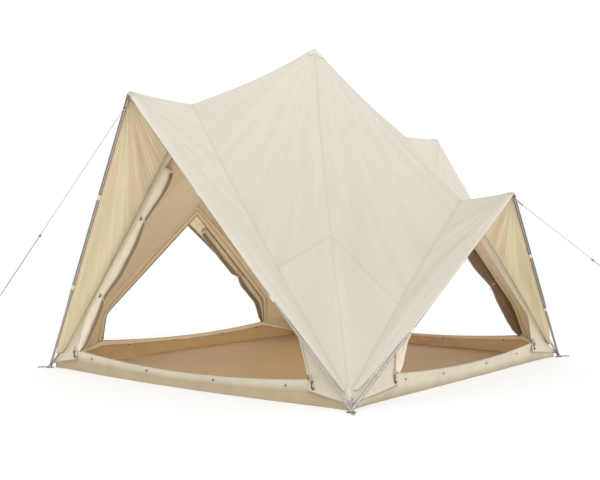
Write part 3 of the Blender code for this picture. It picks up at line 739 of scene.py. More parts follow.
def object_place(tree):
    return add(tree, "ShaderNodeTexCoord").outputs["Object"]


def uv_place(tree, name="cloth"):
    return add(tree, "ShaderNodeUVMap", {"uv_map": name}).outputs[0]


CANVAS_THREADS = 1100.0
THREAD = 0.00012                # height of a thread of canvas


def roof_material(name, colour, painted_crease_shade, warm, count=16.0, fade=0.0):
    """Canvas of the roof: weave, mottling, pull creases and the lines of its seams, with painted light and
    shade: lighter towards the top, darker on the gores, lighter and darker along the creases, and a painted
    highlight along the hem.
    """
    material, tree, surface = new_material(name, 0.88, sheen=0.12)
    cloth = uv_place(tree)
    fan = uv_place(tree, "fan")
    place = object_place(tree)
    # Painted light: the canvas is made lighter towards the top of the roof and darker towards its foot,
    # where more and less light falls.
    high = ramp(tree, add(tree, "ShaderNodeSeparateXYZ", inputs={0: place}).outputs[2], 0.8, 2.7)
    tone = mix_colour(tree, high, rgba(colour, 1 - fade), rgba(colour, 1 + 1.1 * fade))
    # Painted shade: the gores are made darker than the dormer slopes, which are the same canvas.
    tone = mix_colour(tree, attribute(tree, "gore"), tone, (0.95, 0.95, 0.95, 1), "MULTIPLY")
    base = group_node(tree, "mottle", {"Vector": cloth, "Colour": tone, "Amount": 0.10, "Scale": 1.6})
    weave = group_node(tree, "weave", {"Vector": cloth, "Threads per metre": CANVAS_THREADS})
    creases = group_node(tree, "streaks", {"Vector": fan, "Count": count, "Stretch": 0.5})
    seams = group_node(tree, "seam", {"Distance": attribute(tree, "seam"), "Width": sizes().seam})
    patch = group_node(tree, "seam", {"Distance": attribute(tree, "patch"), "Width": 0.009})
    slubs = ramp(tree, weave.outputs["Shade"], 0.35, 0.65, 0.975, 1.02)
    # Painted light and shade: the colour is made darker and lighter along the pull creases, as they would
    # catch the light.
    crease_shading = ramp(tree, creases.outputs[0], 0.36, 0.64, 1.0 - painted_crease_shade, 1.0 + painted_crease_shade * 0.6)
    below = ramp(tree, attribute(tree, "patch"), -0.002, 0.002, 1.0, 0.982)
    hem = attribute(tree, "hem")
    # Painted highlight: a band about 4 cm wide along the hem is made lighter, where the hem rounds over the
    # pole and catches the light.
    band = ramp(tree, hem, 0.040, 0.050, 1.035, 1.0)
    toned = base.outputs[0]
    for share in (slubs, crease_shading, below, band):
        toned = shaded(tree, toned, share)
    stitch = ramp(tree, math_node(tree, "ABSOLUTE", minus(tree, hem, 0.046)), 0.001, 0.004, 0.7, 0.0)
    lines = math_node(tree, "MAXIMUM", seams.outputs["Line"], times(tree, patch.outputs["Line"], 0.9))
    lines = math_node(tree, "MAXIMUM", lines, stitch)
    sewn = mix_colour(tree, times(tree, lines, warm), toned, rgba(colour, 0.42))
    tree.links.new(sewn, surface["Base Color"])
    height = times(tree, weave.outputs["Height"], THREAD)
    for relief, depth in ((creases.outputs[0], 0.010), (seams.outputs["Height"], 0.0010),
                          (patch.outputs["Height"], 0.0008)):
        height = plus(tree, height, times(tree, relief, depth))
    set_bump(tree, surface, height)
    return material


def cloth_material(name, colour, threads=CANVAS_THREADS, mottle=0.14, scale=3.0, crumple=0.004, edge=0.0,
                   mark="edge", reach=(0.003, 0.007)):
    """Canvas, webbing and rope: weave, mottling, soft crumples, and lines along a bound edge."""
    material, tree, surface = new_material(name, 0.88, sheen=0.1)
    cloth = uv_place(tree)
    place = object_place(tree)
    base = group_node(tree, "mottle", {"Vector": place, "Colour": rgba(colour), "Amount": mottle,
                                       "Scale": scale})
    weave = group_node(tree, "weave", {"Vector": cloth, "Threads per metre": threads})
    slubs = ramp(tree, weave.outputs["Shade"], 0.35, 0.65, 0.96, 1.03)
    toned = shaded(tree, base.outputs[0], slubs)
    if edge:
        away = attribute(tree, mark)
        sewn = group_node(tree, "seam", {"Distance": minus(tree, away, HEM_SEWN), "Width": 0.007})
        lines = math_node(tree, "MAXIMUM", sewn.outputs["Line"], ramp(tree, away, *reach, 1.0, 0.0))
        toned = mix_colour(tree, times(tree, lines, edge), toned, rgba(colours().zip))
    tree.links.new(toned, surface["Base Color"])
    crush = noise_at(tree, place, 9.0, 4.0, Distortion=0.8)
    height = plus(tree, times(tree, weave.outputs["Height"], THREAD), times(tree, crush, crumple))
    set_bump(tree, surface, height)
    return material


def tub_material(name, below, above, start, rim, line, spread=(0.03, 0.03)):
    """A tub side: a coated cloth below a soft seam, canvas above it and a bound top edge. A wide spread
    blends the darker skirt far up the band, as painted shade on the lower part of a bulging side.
    """
    material, tree, surface = new_material(name, 0.8, sheen=0.05)
    place = object_place(tree)
    rise = attribute(tree, "rise")
    wander = noise_at(tree, place, 3.5, 3.0)
    height = plus(tree, rise, times(tree, minus(tree, wander, 0.5), 0.12))
    share = ramp(tree, height, start - spread[0], start + spread[1])
    base = mix_colour(tree, share, rgba(below), rgba(above))
    toned = group_node(tree, "mottle", {"Vector": place, "Colour": base, "Amount": 0.30, "Scale": 7.0})
    away = math_node(tree, "ABSOLUTE", minus(tree, height, start))
    seam_line = times(tree, ramp(tree, away, 0.008, 0.045, 1.0, 0.0), line)
    lines = math_node(tree, "MAXIMUM", seam_line, ramp(tree, rise, 0.955, 0.985, 0.0, rim))
    tree.links.new(mix_colour(tree, lines, toned.outputs[0], rgba(below, 0.42)), surface["Base Color"])
    set_bump(tree, surface, noise_at(tree, place, 11.0, 4.0, Distortion=1.2), distance=0.010)
    return material


def floor_material(name, colour):
    """Coated groundsheet: long flattened creases, worn paler on top, and darker towards one corner as
    painted shade.
    """
    material, tree, surface = new_material(name, 0.62, sheen=0.05)
    place = object_place(tree)
    split = add(tree, "ShaderNodeSeparateXYZ", inputs={0: place}).outputs
    # Painted shade: the floor is made darker towards its +x, -y corner, against the light that reaches it
    # there.
    far = ramp(tree, minus(tree, split[0], split[1]), -1.2, 1.4)
    shade = [channel * share for channel, share in zip(colour, (0.81, 0.77, 0.68))]
    tone = mix_colour(tree, far, rgba(colour), rgba(shade))
    base = group_node(tree, "mottle", {"Vector": place, "Colour": tone, "Amount": 0.36, "Scale": 1.1})
    weave = group_node(tree, "weave", {"Vector": uv_place(tree), "Threads per metre": 800.0})
    stretch = {"Vector": place, "Scale": (1.1, 3.2, 1.0), "Rotation": (0, 0, 0.5)}
    long = add(tree, "ShaderNodeMapping", inputs=stretch)
    ridge = add(tree, "ShaderNodeTexNoise", {"noise_type": "RIDGED_MULTIFRACTAL"},
                {"Vector": long.outputs[0], "Scale": 1.3, "Detail": 2.0, "Distortion": 0.5})
    worn = ramp(tree, ridge.outputs[0], 0.8, 1.6, 0.0, 0.42)
    tree.links.new(mix_colour(tree, worn, base.outputs[0], rgba(colour, 1.35)), surface["Base Color"])
    height = plus(tree, times(tree, ridge.outputs[0], 0.012), times(tree, weave.outputs["Height"], 0.0001))
    set_bump(tree, surface, height, 0.7)
    return material


def metal_material(name, colour, roughness, metallic=1.0, scale=60.0, rim=0.0):
    """Tube, wire and cast fittings: satin with fine scuffs, and where asked, painted shade at the edges that
    turn away from the view.
    """
    material, tree, surface = new_material(name, roughness, metallic)
    wear = group_node(tree, "wear", {"Vector": object_place(tree), "Scale": scale})
    tone = mix_colour(tree, wear.outputs["Mask"], rgba(colour), rgba(colour, 0.72))
    # Painted shade: the colour is made darker where the surface turns away from the camera, for the dark
    # sides of a lit tube.
    if rim:
        facing = add(tree, "ShaderNodeLayerWeight", inputs={"Blend": 0.5}).outputs["Facing"]
        tone = mix_colour(tree, ramp(tree, facing, 0.25, 0.72, 0.0, rim), tone, rgba(colour, 0.22))
    tree.links.new(tone, surface["Base Color"])
    rough = ramp(tree, wear.outputs["Mask"], 0.0, 1.0, roughness - 0.06, roughness + 0.14)
    tree.links.new(rough, surface["Roughness"])
    set_bump(tree, surface, wear.outputs["Height"], 0.15, 0.0006)
    return material


def net_material(name, colour):
    """Fine knitted net, rolled several layers deep, so it shows no holes."""
    material, tree, surface = new_material(name, 0.75, sheen=0.2)
    base = group_node(tree, "mottle", {"Vector": object_place(tree), "Colour": rgba(colour), "Amount": 0.35,
                                       "Scale": 14.0})
    mesh = group_node(tree, "weave", {"Vector": uv_place(tree), "Threads per metre": 420.0})
    cell = ramp(tree, mesh.outputs["Height"], -0.4, 0.5, 0.72, 1.12)
    tree.links.new(shaded(tree, base.outputs[0], cell), surface["Base Color"])
    set_bump(tree, surface, mesh.outputs["Height"], 0.6, 0.0006)
    return material


LIT_FLOOR = (0.76, 0.54, 0.33)  # the floor's cloth on the inside of a tall side, which more light reaches
MATERIALS = {}


def finish(name):
    """The material of a finish, made the first time it is asked for."""
    if name not in MATERIALS:
        tint = colours()
        # The painted inside glow, made brighter still for the upper bands inside the tub.
        lining = [1.1 * c for c in tint.lining]
        strap = {"threads": 520.0, "scale": 20.0, "crumple": 0.0006}
        makers = {
            "roof": lambda: roof_material("roof_canvas", tint.canvas, 0.035, 0.34, fade=0.06),
            "roof_lining": lambda: roof_material("roof_lining", tint.lining, 0.06, 0.16, 30.0),
            "wall": lambda: cloth_material(
                "wall_canvas", tint.wall, edge=0.7, mark="foot", reach=(0.006, 0.013)),
            "wall_lining": lambda: cloth_material(
                "wall_lining", tint.lining, edge=0.85, reach=(0.008, 0.016)),
            "roll": lambda: cloth_material(
                "rolled_canvas", [1.2 * c for c in tint.wall], mottle=0.22, scale=9.0, crumple=0.016),
            "cap": lambda: cloth_material(
                "cap_canvas", [1.04 * c for c in tint.canvas], mottle=0.10, crumple=0.002, edge=0.45,
                reach=(0.004, 0.010)),
            # Painted shade: the outside tubs blend their darker skirt far up the band, for the shade under
            # their bulge.
            "tub": lambda: tub_material(
                "tub_outside", tint.skirt, tint.sill, 1 - sizes().sill_band, 0.25, 0.16, (0.10, 0.40)),
            "tub_low": lambda: tub_material(
                "tub_outside_low", tint.skirt, tint.sill, 0.10, 0.25, 0.10, (0.10, 0.50)),
            "tub_inside_tall": lambda: tub_material(
                "tub_inside_tall", LIT_FLOOR, lining, 0.74, 0.95, 0.6),
            "tub_inside": lambda: tub_material(
                "tub_inside", [1.12 * c for c in tint.floor], lining, 0.74, 0.95, 0.6),
            "floor": lambda: floor_material("floor_cloth", tint.floor),
            "webbing": lambda: cloth_material("webbing", tint.webbing, **strap),
            "webbing_grey": lambda: cloth_material("grey_webbing", tint.rope, **strap),
            "net": lambda: net_material("insect_net", tint.net),
            "net_single": lambda: net_material("insect_net_single", [2.1 * c for c in tint.net]),
            "tape": lambda: cloth_material("zip_tape", tint.wall, threads=900.0, crumple=0.0006),
            "zip": lambda: metal_material("zip_coil", tint.zip, 0.5, metallic=0.0, scale=300.0),
            "steel": lambda: metal_material("pole_steel", tint.steel, 0.34, rim=0.9),
            "brass": lambda: metal_material("aged_brass", tint.brass, 0.42, scale=180.0),
            "fitting": lambda: metal_material(
                "dark_fitting", tint.fitting, 0.45, metallic=0.0, scale=240.0),
            "rope": lambda: cloth_material(
                "guy_rope", tint.rope, threads=1500.0, scale=30.0, crumple=0.0002),
        }
        MATERIALS[name] = makers[name]()
    return MATERIALS[name]


def socket_id(group, label):
    for socket in group.interface.items_tree:
        if socket.item_type == "SOCKET" and socket.in_out == "INPUT" and socket.name == label:
            return socket.identifier
    raise KeyError(label)


def run_tree(item, group, values):
    """Run a geometry tree on an object and turn its result into a plain mesh."""
    modifier = item.modifiers.new(group.name, "NODES")
    modifier.node_group = group
    for label, value in values.items():
        modifier[socket_id(group, label)] = value
    depsgraph = bpy.context.evaluated_depsgraph_get()
    data = bpy.data.meshes.new_from_object(item.evaluated_get(depsgraph))
    name = item.name
    bpy.data.objects.remove(item)
    data.name = name
    return linked(name, data)


def dressed(group, pieces, given, out):
    """End a tree: make its instances real and give them the material."""
    real = add(group, "GeometryNodeRealizeInstances", inputs={0: pieces.outputs[0]})
    inputs = {"Geometry": real.outputs[0], "Material": given["Material"]}
    group.links.new(add(group, "GeometryNodeSetMaterial", inputs=inputs).outputs[0], out["Mesh"])
    return group


def teeth_tree():
    """Small bars set square across a path, such as zip teeth and stitches."""
    group, given, out = new_group(
        "bars_along_path", "GeometryNodeTree",
        [("Path", GEOMETRY, None), ("Pitch", VALUE, 0.003),
         ("Length", VALUE, 0.006), ("Width", VALUE, 0.002),
         ("Height", VALUE, 0.002), ("Jitter", VALUE, 0.05),
         ("Seed", "NodeSocketInt", 1), ("Material", MATERIAL, None)],
        [("Mesh", GEOMETRY)])
    spots = add(group, "GeometryNodeCurveToPoints", {"mode": "LENGTH"},
                {"Curve": given["Path"], "Length": given["Pitch"]})
    size = add(group, "ShaderNodeCombineXYZ",
               inputs={0: given["Height"], 1: given["Length"], 2: given["Width"]})
    bar = add(group, "GeometryNodeMeshCube", inputs={"Size": size.outputs[0]})
    least, most = minus(group, 1.0, given["Jitter"]), plus(group, 1.0, given["Jitter"])
    vary = add(group, "FunctionNodeRandomValue", {"data_type": "FLOAT"},
               {2: least, 3: most, "Seed": given["Seed"]})
    set_out = add(group, "GeometryNodeInstanceOnPoints",
                  inputs={"Points": spots.outputs["Points"], "Instance": bar.outputs["Mesh"],
                          "Rotation": spots.outputs["Rotation"], "Scale": vary.outputs[1]})
    return dressed(group, set_out, given, out)


def fittings_tree():
    """A fitting at each point, its Z along the point's facing and its X along the point's run."""
    group, given, out = new_group(
        "fittings_on_points", "GeometryNodeTree",
        [("Points", GEOMETRY, None), ("Fitting", "NodeSocketObject", None),
         ("Size", VALUE, 1.0), ("Material", MATERIAL, None)],
        [("Mesh", GEOMETRY)])
    facing, run = (add(group, "GeometryNodeInputNamedAttribute", {"data_type": "FLOAT_VECTOR"},
                       {"Name": label}).outputs[0] for label in ("facing", "run"))
    turn = add(group, "FunctionNodeAxesToRotation", {"primary_axis": "Z", "secondary_axis": "X"},
               {0: facing, 1: run})
    shape = add(group, "GeometryNodeObjectInfo", {"transform_space": "ORIGINAL"},
                {"Object": given["Fitting"]})
    set_out = add(group, "GeometryNodeInstanceOnPoints",
                  inputs={"Points": given["Points"], "Instance": shape.outputs["Geometry"],
                          "Rotation": turn.outputs[0], "Scale": given["Size"]})
    return dressed(group, set_out, given, out)


def rope_tree():
    """Three strands laid round a path."""
    group, given, out = new_group(
        "laid_rope", "GeometryNodeTree",
        [("Path", GEOMETRY, None), ("Radius", VALUE, 0.002),
         ("Lay", VALUE, 0.014), ("Step", VALUE, 0.002),
         ("Material", MATERIAL, None)],
        [("Mesh", GEOMETRY)])
    fine = add(group, "GeometryNodeResampleCurve", {"mode": "LENGTH"},
               {"Curve": given["Path"], "Length": given["Step"]})
    place = add(group, "GeometryNodeSplineParameter")
    tangent = add(group, "GeometryNodeInputTangent").outputs[0]
    normal = add(group, "GeometryNodeInputNormal").outputs[0]
    side = vector_node(group, "CROSS_PRODUCT", {0: tangent, 1: normal})
    turns = math_node(group, "DIVIDE", place.outputs["Length"], given["Lay"])
    reach = times(group, given["Radius"], 0.5)
    strands = []
    for strand in range(3):
        angle = times(group, plus(group, turns, strand / 3), math.tau)
        shifts = []
        for operation, axis in (("COSINE", normal), ("SINE", side)):
            amount = times(group, math_node(group, operation, angle), reach)
            shifts.append(vector_node(group, "SCALE", {0: axis, "Scale": amount}))
        shift = vector_node(group, "ADD", {0: shifts[0], 1: shifts[1]})
        inputs = {"Geometry": fine.outputs[0], "Offset": shift}
        strands.append(add(group, "GeometryNodeSetPosition", inputs=inputs).outputs[0])
    bundle = add(group, "GeometryNodeJoinGeometry")
    for strand in strands:
        group.links.new(strand, bundle.inputs[0])
    thread = times(group, given["Radius"], 0.52)
    profile = add(group, "GeometryNodeCurvePrimitiveCircle", inputs={"Resolution": 5, "Radius": thread})
    inputs = {"Curve": bundle.outputs[0], "Profile Curve": profile.outputs[0], "Fill Caps": True}
    return dressed(group, add(group, "GeometryNodeCurveToMesh", inputs=inputs), given, out)


TREES = {}


def tree_named(name):
    makers = {"bars": teeth_tree, "fittings": fittings_tree, "rope": rope_tree}
    if name not in TREES:
        TREES[name] = makers[name]()
    return TREES[name]


def path_object(name, path):
    """A curve object along a path, whose normals stay level with the world where they can."""
    data = bpy.data.curves.new(name, "CURVE")
    data.dimensions = "3D"
    data.twist_mode = "Z_UP"
    spline = data.splines.new("POLY")
    spline.points.add(len(path) - 1)
    for point, place in zip(spline.points, path):
        point.co = (*place, 1)
    return linked(name, data)


def bars_along(name, path, pitch, size, material):
    length, width, height = size
    values = {"Pitch": pitch, "Length": length, "Width": width, "Height": height, "Jitter": 0.05,
              "Seed": sizes().seed, "Material": material}
    return run_tree(path_object(name, path), tree_named("bars"), values)


def fittings_at(name, places, fitting, material):
    """Copies of a fitting at (point, facing, run) places, as one mesh; the fitting itself goes."""
    data = bpy.data.meshes.new(name)
    data.from_pydata([tuple(point) for point, _, _ in places], [], [])
    for label, index in (("facing", 1), ("run", 2)):
        layer = data.attributes.new(label, "FLOAT_VECTOR", "POINT")
        layer.data.foreach_set("vector", [value for place in places for value in place[index]])
    values = {"Fitting": fitting, "Size": 1.0, "Material": material}
    result = run_tree(linked(name, data), tree_named("fittings"), values)
    bpy.data.objects.remove(fitting)
    return result


def turned_object(name, profile, sides=16):
    """Turn (radius, height) points about Z, closed at both ends."""
    item = grid_object(name, turned_rows(profile, sides), [], closed=True, caps=True)
    recalculate(item)
    return item


def ring_object(name, radius, wire, material, steps=28, sides=8):
    """A ring in its own XY plane."""
    rows = []
    for place in round_profile(1.0, steps):
        way = Vector((*place, 0))
        rows.append([way * (radius + out) + Vector((0, 0, up)) for out, up in round_profile(wire, sides)])
    rows.append(rows[0])
    item = grid_object(name, rows, [material], closed=True)
    recalculate(item)
    return item


def placed(item, origin, facing, run):
    """Turn a piece made at the origin so that Z faces and X runs as given, in its mesh."""
    z = facing.normalized()
    x = (run - z * run.dot(z)).normalized()
    turn = Matrix((x, z.cross(x), z)).transposed().to_4x4()
    item.data.transform(Matrix.Translation(origin) @ turn)
    return item


# Roof

def roof_rows():
    """Fractions down the roof, close together where the ridges are rounded."""
    close = [0.0, 0.0025, 0.005, 0.008, 0.0115, 0.0155, 0.020, 0.025]
    return close + [0.025 + 0.975 * k / ROOF_ROWS for k in range(1, ROOF_ROWS + 1)]


def roof_columns():
    """(half, region, fraction) of each column from the tall pole's hem round to the low pole's."""
    half = [("hem", k / HEM_STEPS) for k in range(HEM_STEPS)]
    half += [("slope", k / SLOPE_STEPS) for k in range(SLOPE_STEPS)]
    half += [("gore", k / GORE_STEPS) for k in range(GORE_STEPS)]
    columns = [("tall", region, f) for region, f in half] + [("tall", "gore", 1.0)]
    return columns + [("low", region, f) for region, f in reversed(half)]


def roof_point(half, region, f, t):
    dormer, place = HALVES[half]
    if region == "hem":
        return place(soften(dormer, hem_point(dormer, f, t)))
    if region == "slope":
        return place(soften(dormer, slope_point(dormer, f, t)))
    return gore_point(place(soften(dormer, valley(dormer, t))), f, t)


# Pull creases of a gore, as (fraction across, fraction down) to the same, width and depth
LONG_CREASES = {
    "tall": [((0.97, 0.03), (0.30, 0.36), 0.040, 0.0080), ((0.96, 0.04), (0.44, 0.44), 0.032, 0.0060),
             ((0.93, 0.03), (0.12, 0.26), 0.030, 0.0045), ((0.90, 0.05), (0.70, 0.40), 0.035, 0.0035)],
    "low": [((0.95, 0.04), (0.03, 0.40), 0.030, 0.0050), ((0.93, 0.04), (0.04, 0.50), 0.034, 0.0055),
            ((0.90, 0.04), (0.02, 0.30), 0.026, 0.0045), ((0.96, 0.06), (0.10, 0.62), 0.036, 0.0040),
            ((0.80, 0.02), (0.02, 0.20), 0.024, 0.0040)],
}
SHORT_CREASES = {"tall": 11, "low": 13}


def gore_creases(quadrant):
    """Every pull crease of a quadrant's gore, shifted a little from corner to corner."""
    drift = {"near": 0.0, "left": 0.31, "right": 0.57, "far": 0.83}[quadrant]
    creases = []
    for half, lines in LONG_CREASES.items():
        for number, (start, end, width, depth) in enumerate(lines):
            shift = 0.05 * math.sin(9 * (drift + number)) * (drift > 0)
            creases.append((half, start, (end[0], end[1] + shift), width, depth))
        for number in range(SHORT_CREASES[half]):
            down = 0.025 + 0.030 * number + 0.006 * math.sin(5 * number + 11 * drift)
            reach = 0.34 + 0.13 * math.sin(2.3 * number + 7 * drift)
            tilt = 0.035 if half == "tall" else 0.012
            creases.append((half, (0.01, down), (reach, down - tilt), 0.016, 0.0028 * (1 - down)))
    return creases


def crease_heights(points, columns, rows, quadrant):
    """How far each point of the gore stands out at the pull creases."""
    heights = np.zeros(points.shape[:2])
    halves = np.array([half for half, _, _ in columns])
    gore = np.array([region == "gore" for _, region, _ in columns])
    for half, start, end, width, depth in gore_creases(quadrant):
        a = np.array(roof_point(half, "gore", *start))
        b = np.array(roof_point(half, "gore", *end))
        run = b - a
        share = ((points - a) @ run) / (run @ run)
        away = np.linalg.norm(points - a - share[..., None] * run, axis=2)
        along = np.clip(share, 0, 1)
        window = np.sin(np.pi * along) ** 0.7 * ((share > 0) & (share < 1))
        ratio = (away / width) ** 2
        bump = depth * (1 - 0.9 * ratio) * np.exp(-ratio) * window
        heights += bump * (gore & (halves == half))[None, :]
    fade = np.clip(np.array(rows) / 0.02, 0, 1)
    return heights * fade[:, None]


def surface_normals(points):
    """Unit normals of a grid of points, by central differences."""
    down = np.gradient(points, axis=0)
    across = np.gradient(points, axis=1)
    normals = np.cross(across, down)
    normals[..., 2] = np.where(np.abs(normals).sum(axis=2) == 0, 1.0, normals[..., 2])
    normals /= np.linalg.norm(normals, axis=2)[..., None]
    return normals * np.where(normals[..., 2] < 0, -1.0, 1.0)[..., None]


def column_distances(points, columns, kind, ends):
    """Distance from each point to the nearest of the columns that end a region, in the same row."""
    lines = [index for index, (_, region, f) in enumerate(columns) if region == kind and f in ends]
    away = [np.linalg.norm(points - points[:, index:index + 1], axis=2) for index in lines]
    return np.minimum.reduce(away)


def seam_distances(points, columns):
    """Distance to the nearest seam: the valleys, the centre seam or the ridges."""
    distance = np.minimum(column_distances(points, columns, "gore", (0.0, 1.0)), 1.0)
    ridge = np.linalg.norm(points - points[0:1], axis=2)
    return np.minimum(distance, ridge + 0.002)


def patch_distances(columns, rows):
    """Signed distance below the line where the kite patch is let in."""
    away = np.zeros((len(rows), len(columns)))
    for c, (half, region, f) in enumerate(columns):
        start = PATCH_AT_VALLEY[half]
        line = start + (PATCH_AT_SEAM - start) * f
        away[:, c] = (line - np.array(rows)) * GORE_DROP if region == "gore" else 0.5
    return away


def fan_corners(points):
    """For each point, its angle and distance from the point that its panel pulls from."""
    pulls = {half: [place(p) for p in leg(dormer)[1:3]] for half, (dormer, place) in HALVES.items()}
    pulls["gore"] = [Vector((0, 0, PEAK_Z)), (seam(1) - seam(0)).normalized()]
    fans = {}
    for key, (centre, way) in pulls.items():
        away = points - np.array(centre)
        distance = np.linalg.norm(away, axis=2) + 1e-6
        turn = np.arccos(np.clip((away @ np.array(way)) / distance, -1, 1))
        fans[key] = np.stack([turn, distance], axis=2)
    return fans


def canopy_quadrant(name):
    """A gore with half a dormer on each side, hem to hem, as one cloth."""
    signs = np.array((*CORNERS[name], 1.0))
    columns, rows = roof_columns(), roof_rows()
    points = np.array([[roof_point(*column, t) for column in columns] for t in rows])
    normals = surface_normals(points)
    heights = crease_heights(points, columns, rows, name) * sizes().creases
    points = points + normals * heights[..., None]
    fans = fan_corners(points)
    gore_width = steps_along([Vector(p) for p in points[len(rows) // 2]])
    gore_drop = steps_along([Vector(p) for p in points[:, len(columns) // 2]])
    count = len(columns)
    faces, cloth, fan = [], [], []
    flip = signs[0] * signs[1] > 0
    for r in range(len(rows) - 1):
        for c in range(count - 1):
            quad = [(r, c), (r, c + 1), (r + 1, c + 1), (r + 1, c)]
            if flip:
                quad.reverse()
            here, there = columns[c], columns[c + 1]
            key = "gore" if here[1] == "gore" and there[1] == "gore" else here[0]
            faces.append([i * count + j for i, j in quad])
            cloth += [(gore_width[j], gore_drop[i]) for i, j in quad]
            fan += [tuple(fans[key][i, j]) for i, j in quad]
    item = make_object("canopy_cloth_" + name, (points * signs).reshape(-1, 3), faces,
                       [finish("roof"), finish("roof_lining")])
    for label, corners in (("cloth", cloth), ("fan", fan)):
        layer = item.data.uv_layers.new(name=label)
        layer.data.foreach_set("uv", np.array(corners).ravel())
    marks = {
        "seam": seam_distances(points, columns),
        "patch": patch_distances(columns, rows),
        "hem": column_distances(points, columns, "slope", (0.0,)),
        "gore": np.tile([float(region == "gore") for _, region, _ in columns], len(rows)),
    }
    for label, values in marks.items():
        mark_points(item, label, values.ravel())
    face_toward(item, Vector((0, 0, 1)))
    thicken(item, sizes().cloth, inside=True)
    settle(item, "canvas", "canopy_" + name)


def roof_ways():
    """Unit vectors from the peak down a tall ridge, the centre seam and a low ridge."""
    tall, low = (gore_point(place(valley(dormer, 0)), 0.92, 0.0) for dormer, place in HALVES.values())
    return [(point - Vector((0, 0, PEAK_Z))).normalized() for point in (tall, seam(0.045), low)]


def roof_fall(angle):
    """The way down the roof from the peak at an angle in plan."""
    plan = Vector((abs(math.cos(angle)), abs(math.sin(angle)), 0))
    tall, middle, low = roof_ways()
    pair = (tall, middle) if plan.y * middle.x <= plan.x * middle.y else (middle, low)
    normal = pair[0].cross(pair[1])
    fall = -(normal.x * plan.x + normal.y * plan.y) / normal.z
    return Vector((math.cos(angle), math.sin(angle), fall)).normalized()


CAP_RINGS = 12
CAP_SIDES = 96


def peak_cap():
    """A sewn cap over the peak, puckered at its edge."""
    peak = Vector((0, 0, PEAK_Z))
    rows = []
    for ring in range(CAP_RINGS + 1):
        share = ring / CAP_RINGS
        row = []
        for number in range(CAP_SIDES):
            angle = math.tau * number / CAP_SIDES
            reach = 0.070 + 0.058 * abs(math.cos(2 * angle)) ** 1.6 + 0.002 * math.sin(9 * angle + 1)
            pucker = 0.0010 * math.sin(13 * angle) * share * (1 - share)
            lift = 0.0042 - 0.0024 * share ** 3 + pucker - 0.008 * max(0.0, 1 - 2 * share) ** 2
            row.append(peak + roof_fall(angle) * share * reach + Vector((0, 0, lift)))
        rows.append(row)
    item = grid_object("peak_cap_cloth", rows, [finish("cap")], closed=True)
    mark_points(item, "edge", [min(0.035, 0.10 * (1 - ring / CAP_RINGS))
                               for ring in range(CAP_RINGS + 1) for _ in range(CAP_SIDES)])
    recalculate(item)
    if sum(face.normal.z for face in item.data.polygons) < 0:
        item.data.flip_normals()
    thicken(item, THICKNESS["cap"])
    settle(item, "canvas", "peak_cap")


# Doors

def roll_frames(dormer):
    """(point, direction, radius) down the rolled door, from its top to its tail."""
    top, bend = door_slope(dormer)
    beside = TIE_REACH / (bend - top).length
    stations = [(dormer.roll_start + past, radius) for past, radius in ROLL_HEAD] + ROLL_SLOPING
    for tie in dormer.ties:
        stations = [station for station in stations if abs(station[0] - tie) > 0.05]
        stations += [(tie + beside * step, TIE_PINCH + 0.002 * abs(step)) for step in (-1, 0, 1)]
    stations.sort()
    frames = []
    for start, end, rows in ((top, bend, stations), (bend, door_foot(dormer), ROLL_FOOT)):
        inside = into_doorway(dormer, (end - start).normalized())
        frames += [(mirror(start.lerp(end, fraction) + inside * roll_away(radius)), radius)
                   for fraction, radius in rows]
    return frames


ROLL_STEP = 0.024


def fine_frames(dormer):
    """The rolled door's line and radius at even steps, both smoothed."""
    points, radii = zip(*roll_frames(dormer))
    total = steps_along(points)
    count = int(total[-1] / ROLL_STEP)
    line = []
    for step in range(count + 1):
        s = total[-1] * step / count
        index = min(max(k for k in range(len(total)) if total[k] <= s + 1e-9), len(total) - 2)
        share = (s - total[index]) / (total[index + 1] - total[index])
        eased = share * share * (3 - 2 * share)
        line.append([points[index].lerp(points[index + 1], share),
                     radii[index] + (radii[index + 1] - radii[index]) * eased])
    for _ in range(2):
        smooth = [line[0][0]] + [(a[0] + b[0] * 2 + c[0]) / 4 for a, b, c in zip(line, line[1:], line[2:])]
        smooth.append(line[-1][0])
        line = [[point, radius] for point, (_, radius) in zip(smooth, line)]
    return line


def rolled_door(side):
    """The door's cloth, from the wall's zip over the face of the roll and then round itself inward."""
    dormer, turn = side_frame(side)
    line = fine_frames(dormer)
    frames = section_frames([point for point, _ in line], wall_outward(dormer))
    turns = sizes().roll_turns
    steps = int(turns * 20)
    rows = []
    seed = 3.7 * list(SIDES).index(side) + sizes().seed
    for number, ((point, face, across), (_, radius)) in enumerate(zip(frames, line)):
        s = number / len(frames)
        wall_at = roll_away(radius) + 0.016
        leaves = math.pi / 2 - math.acos(min(0.97, 0.9 * radius / wall_at))
        row = []
        for k in range(steps + 1):
            share = k / steps
            angle = leaves - math.tau * turns * (1 - share)
            loose = noise.noise(Vector((1.5 * math.cos(angle) + seed, 1.5 * math.sin(angle), 9 * s)))
            fold = noise.noise(Vector((4 * math.cos(angle) + seed, 4 * math.sin(angle) + 5 * s, 22 * s)))
            crush = 1 + (0.16 * loose + 0.20 * fold) * clamped((radius - TIE_PINCH - 0.001) * 120)
            reach = radius * (0.16 + 0.84 * share) * crush
            row.append(point + face * reach * math.cos(angle) * ROLL_FLAT + across * reach * math.sin(angle))
        last, hem = row[-1], point + across * wall_at + face * 0.0035
        for k in range(1, 7):
            slack = face * 0.004 * math.sin(math.pi * k / 6) * math.sin(11 * s + seed)
            row.append(last.lerp(hem, k / 6) + slack)
        rows.append([turn @ p for p in row])
    item = grid_object("door_roll_" + side, rows, [finish("roll")])
    thicken(item, THICKNESS["door"])
    settle(item, "canvas", "rolled_door_" + side)


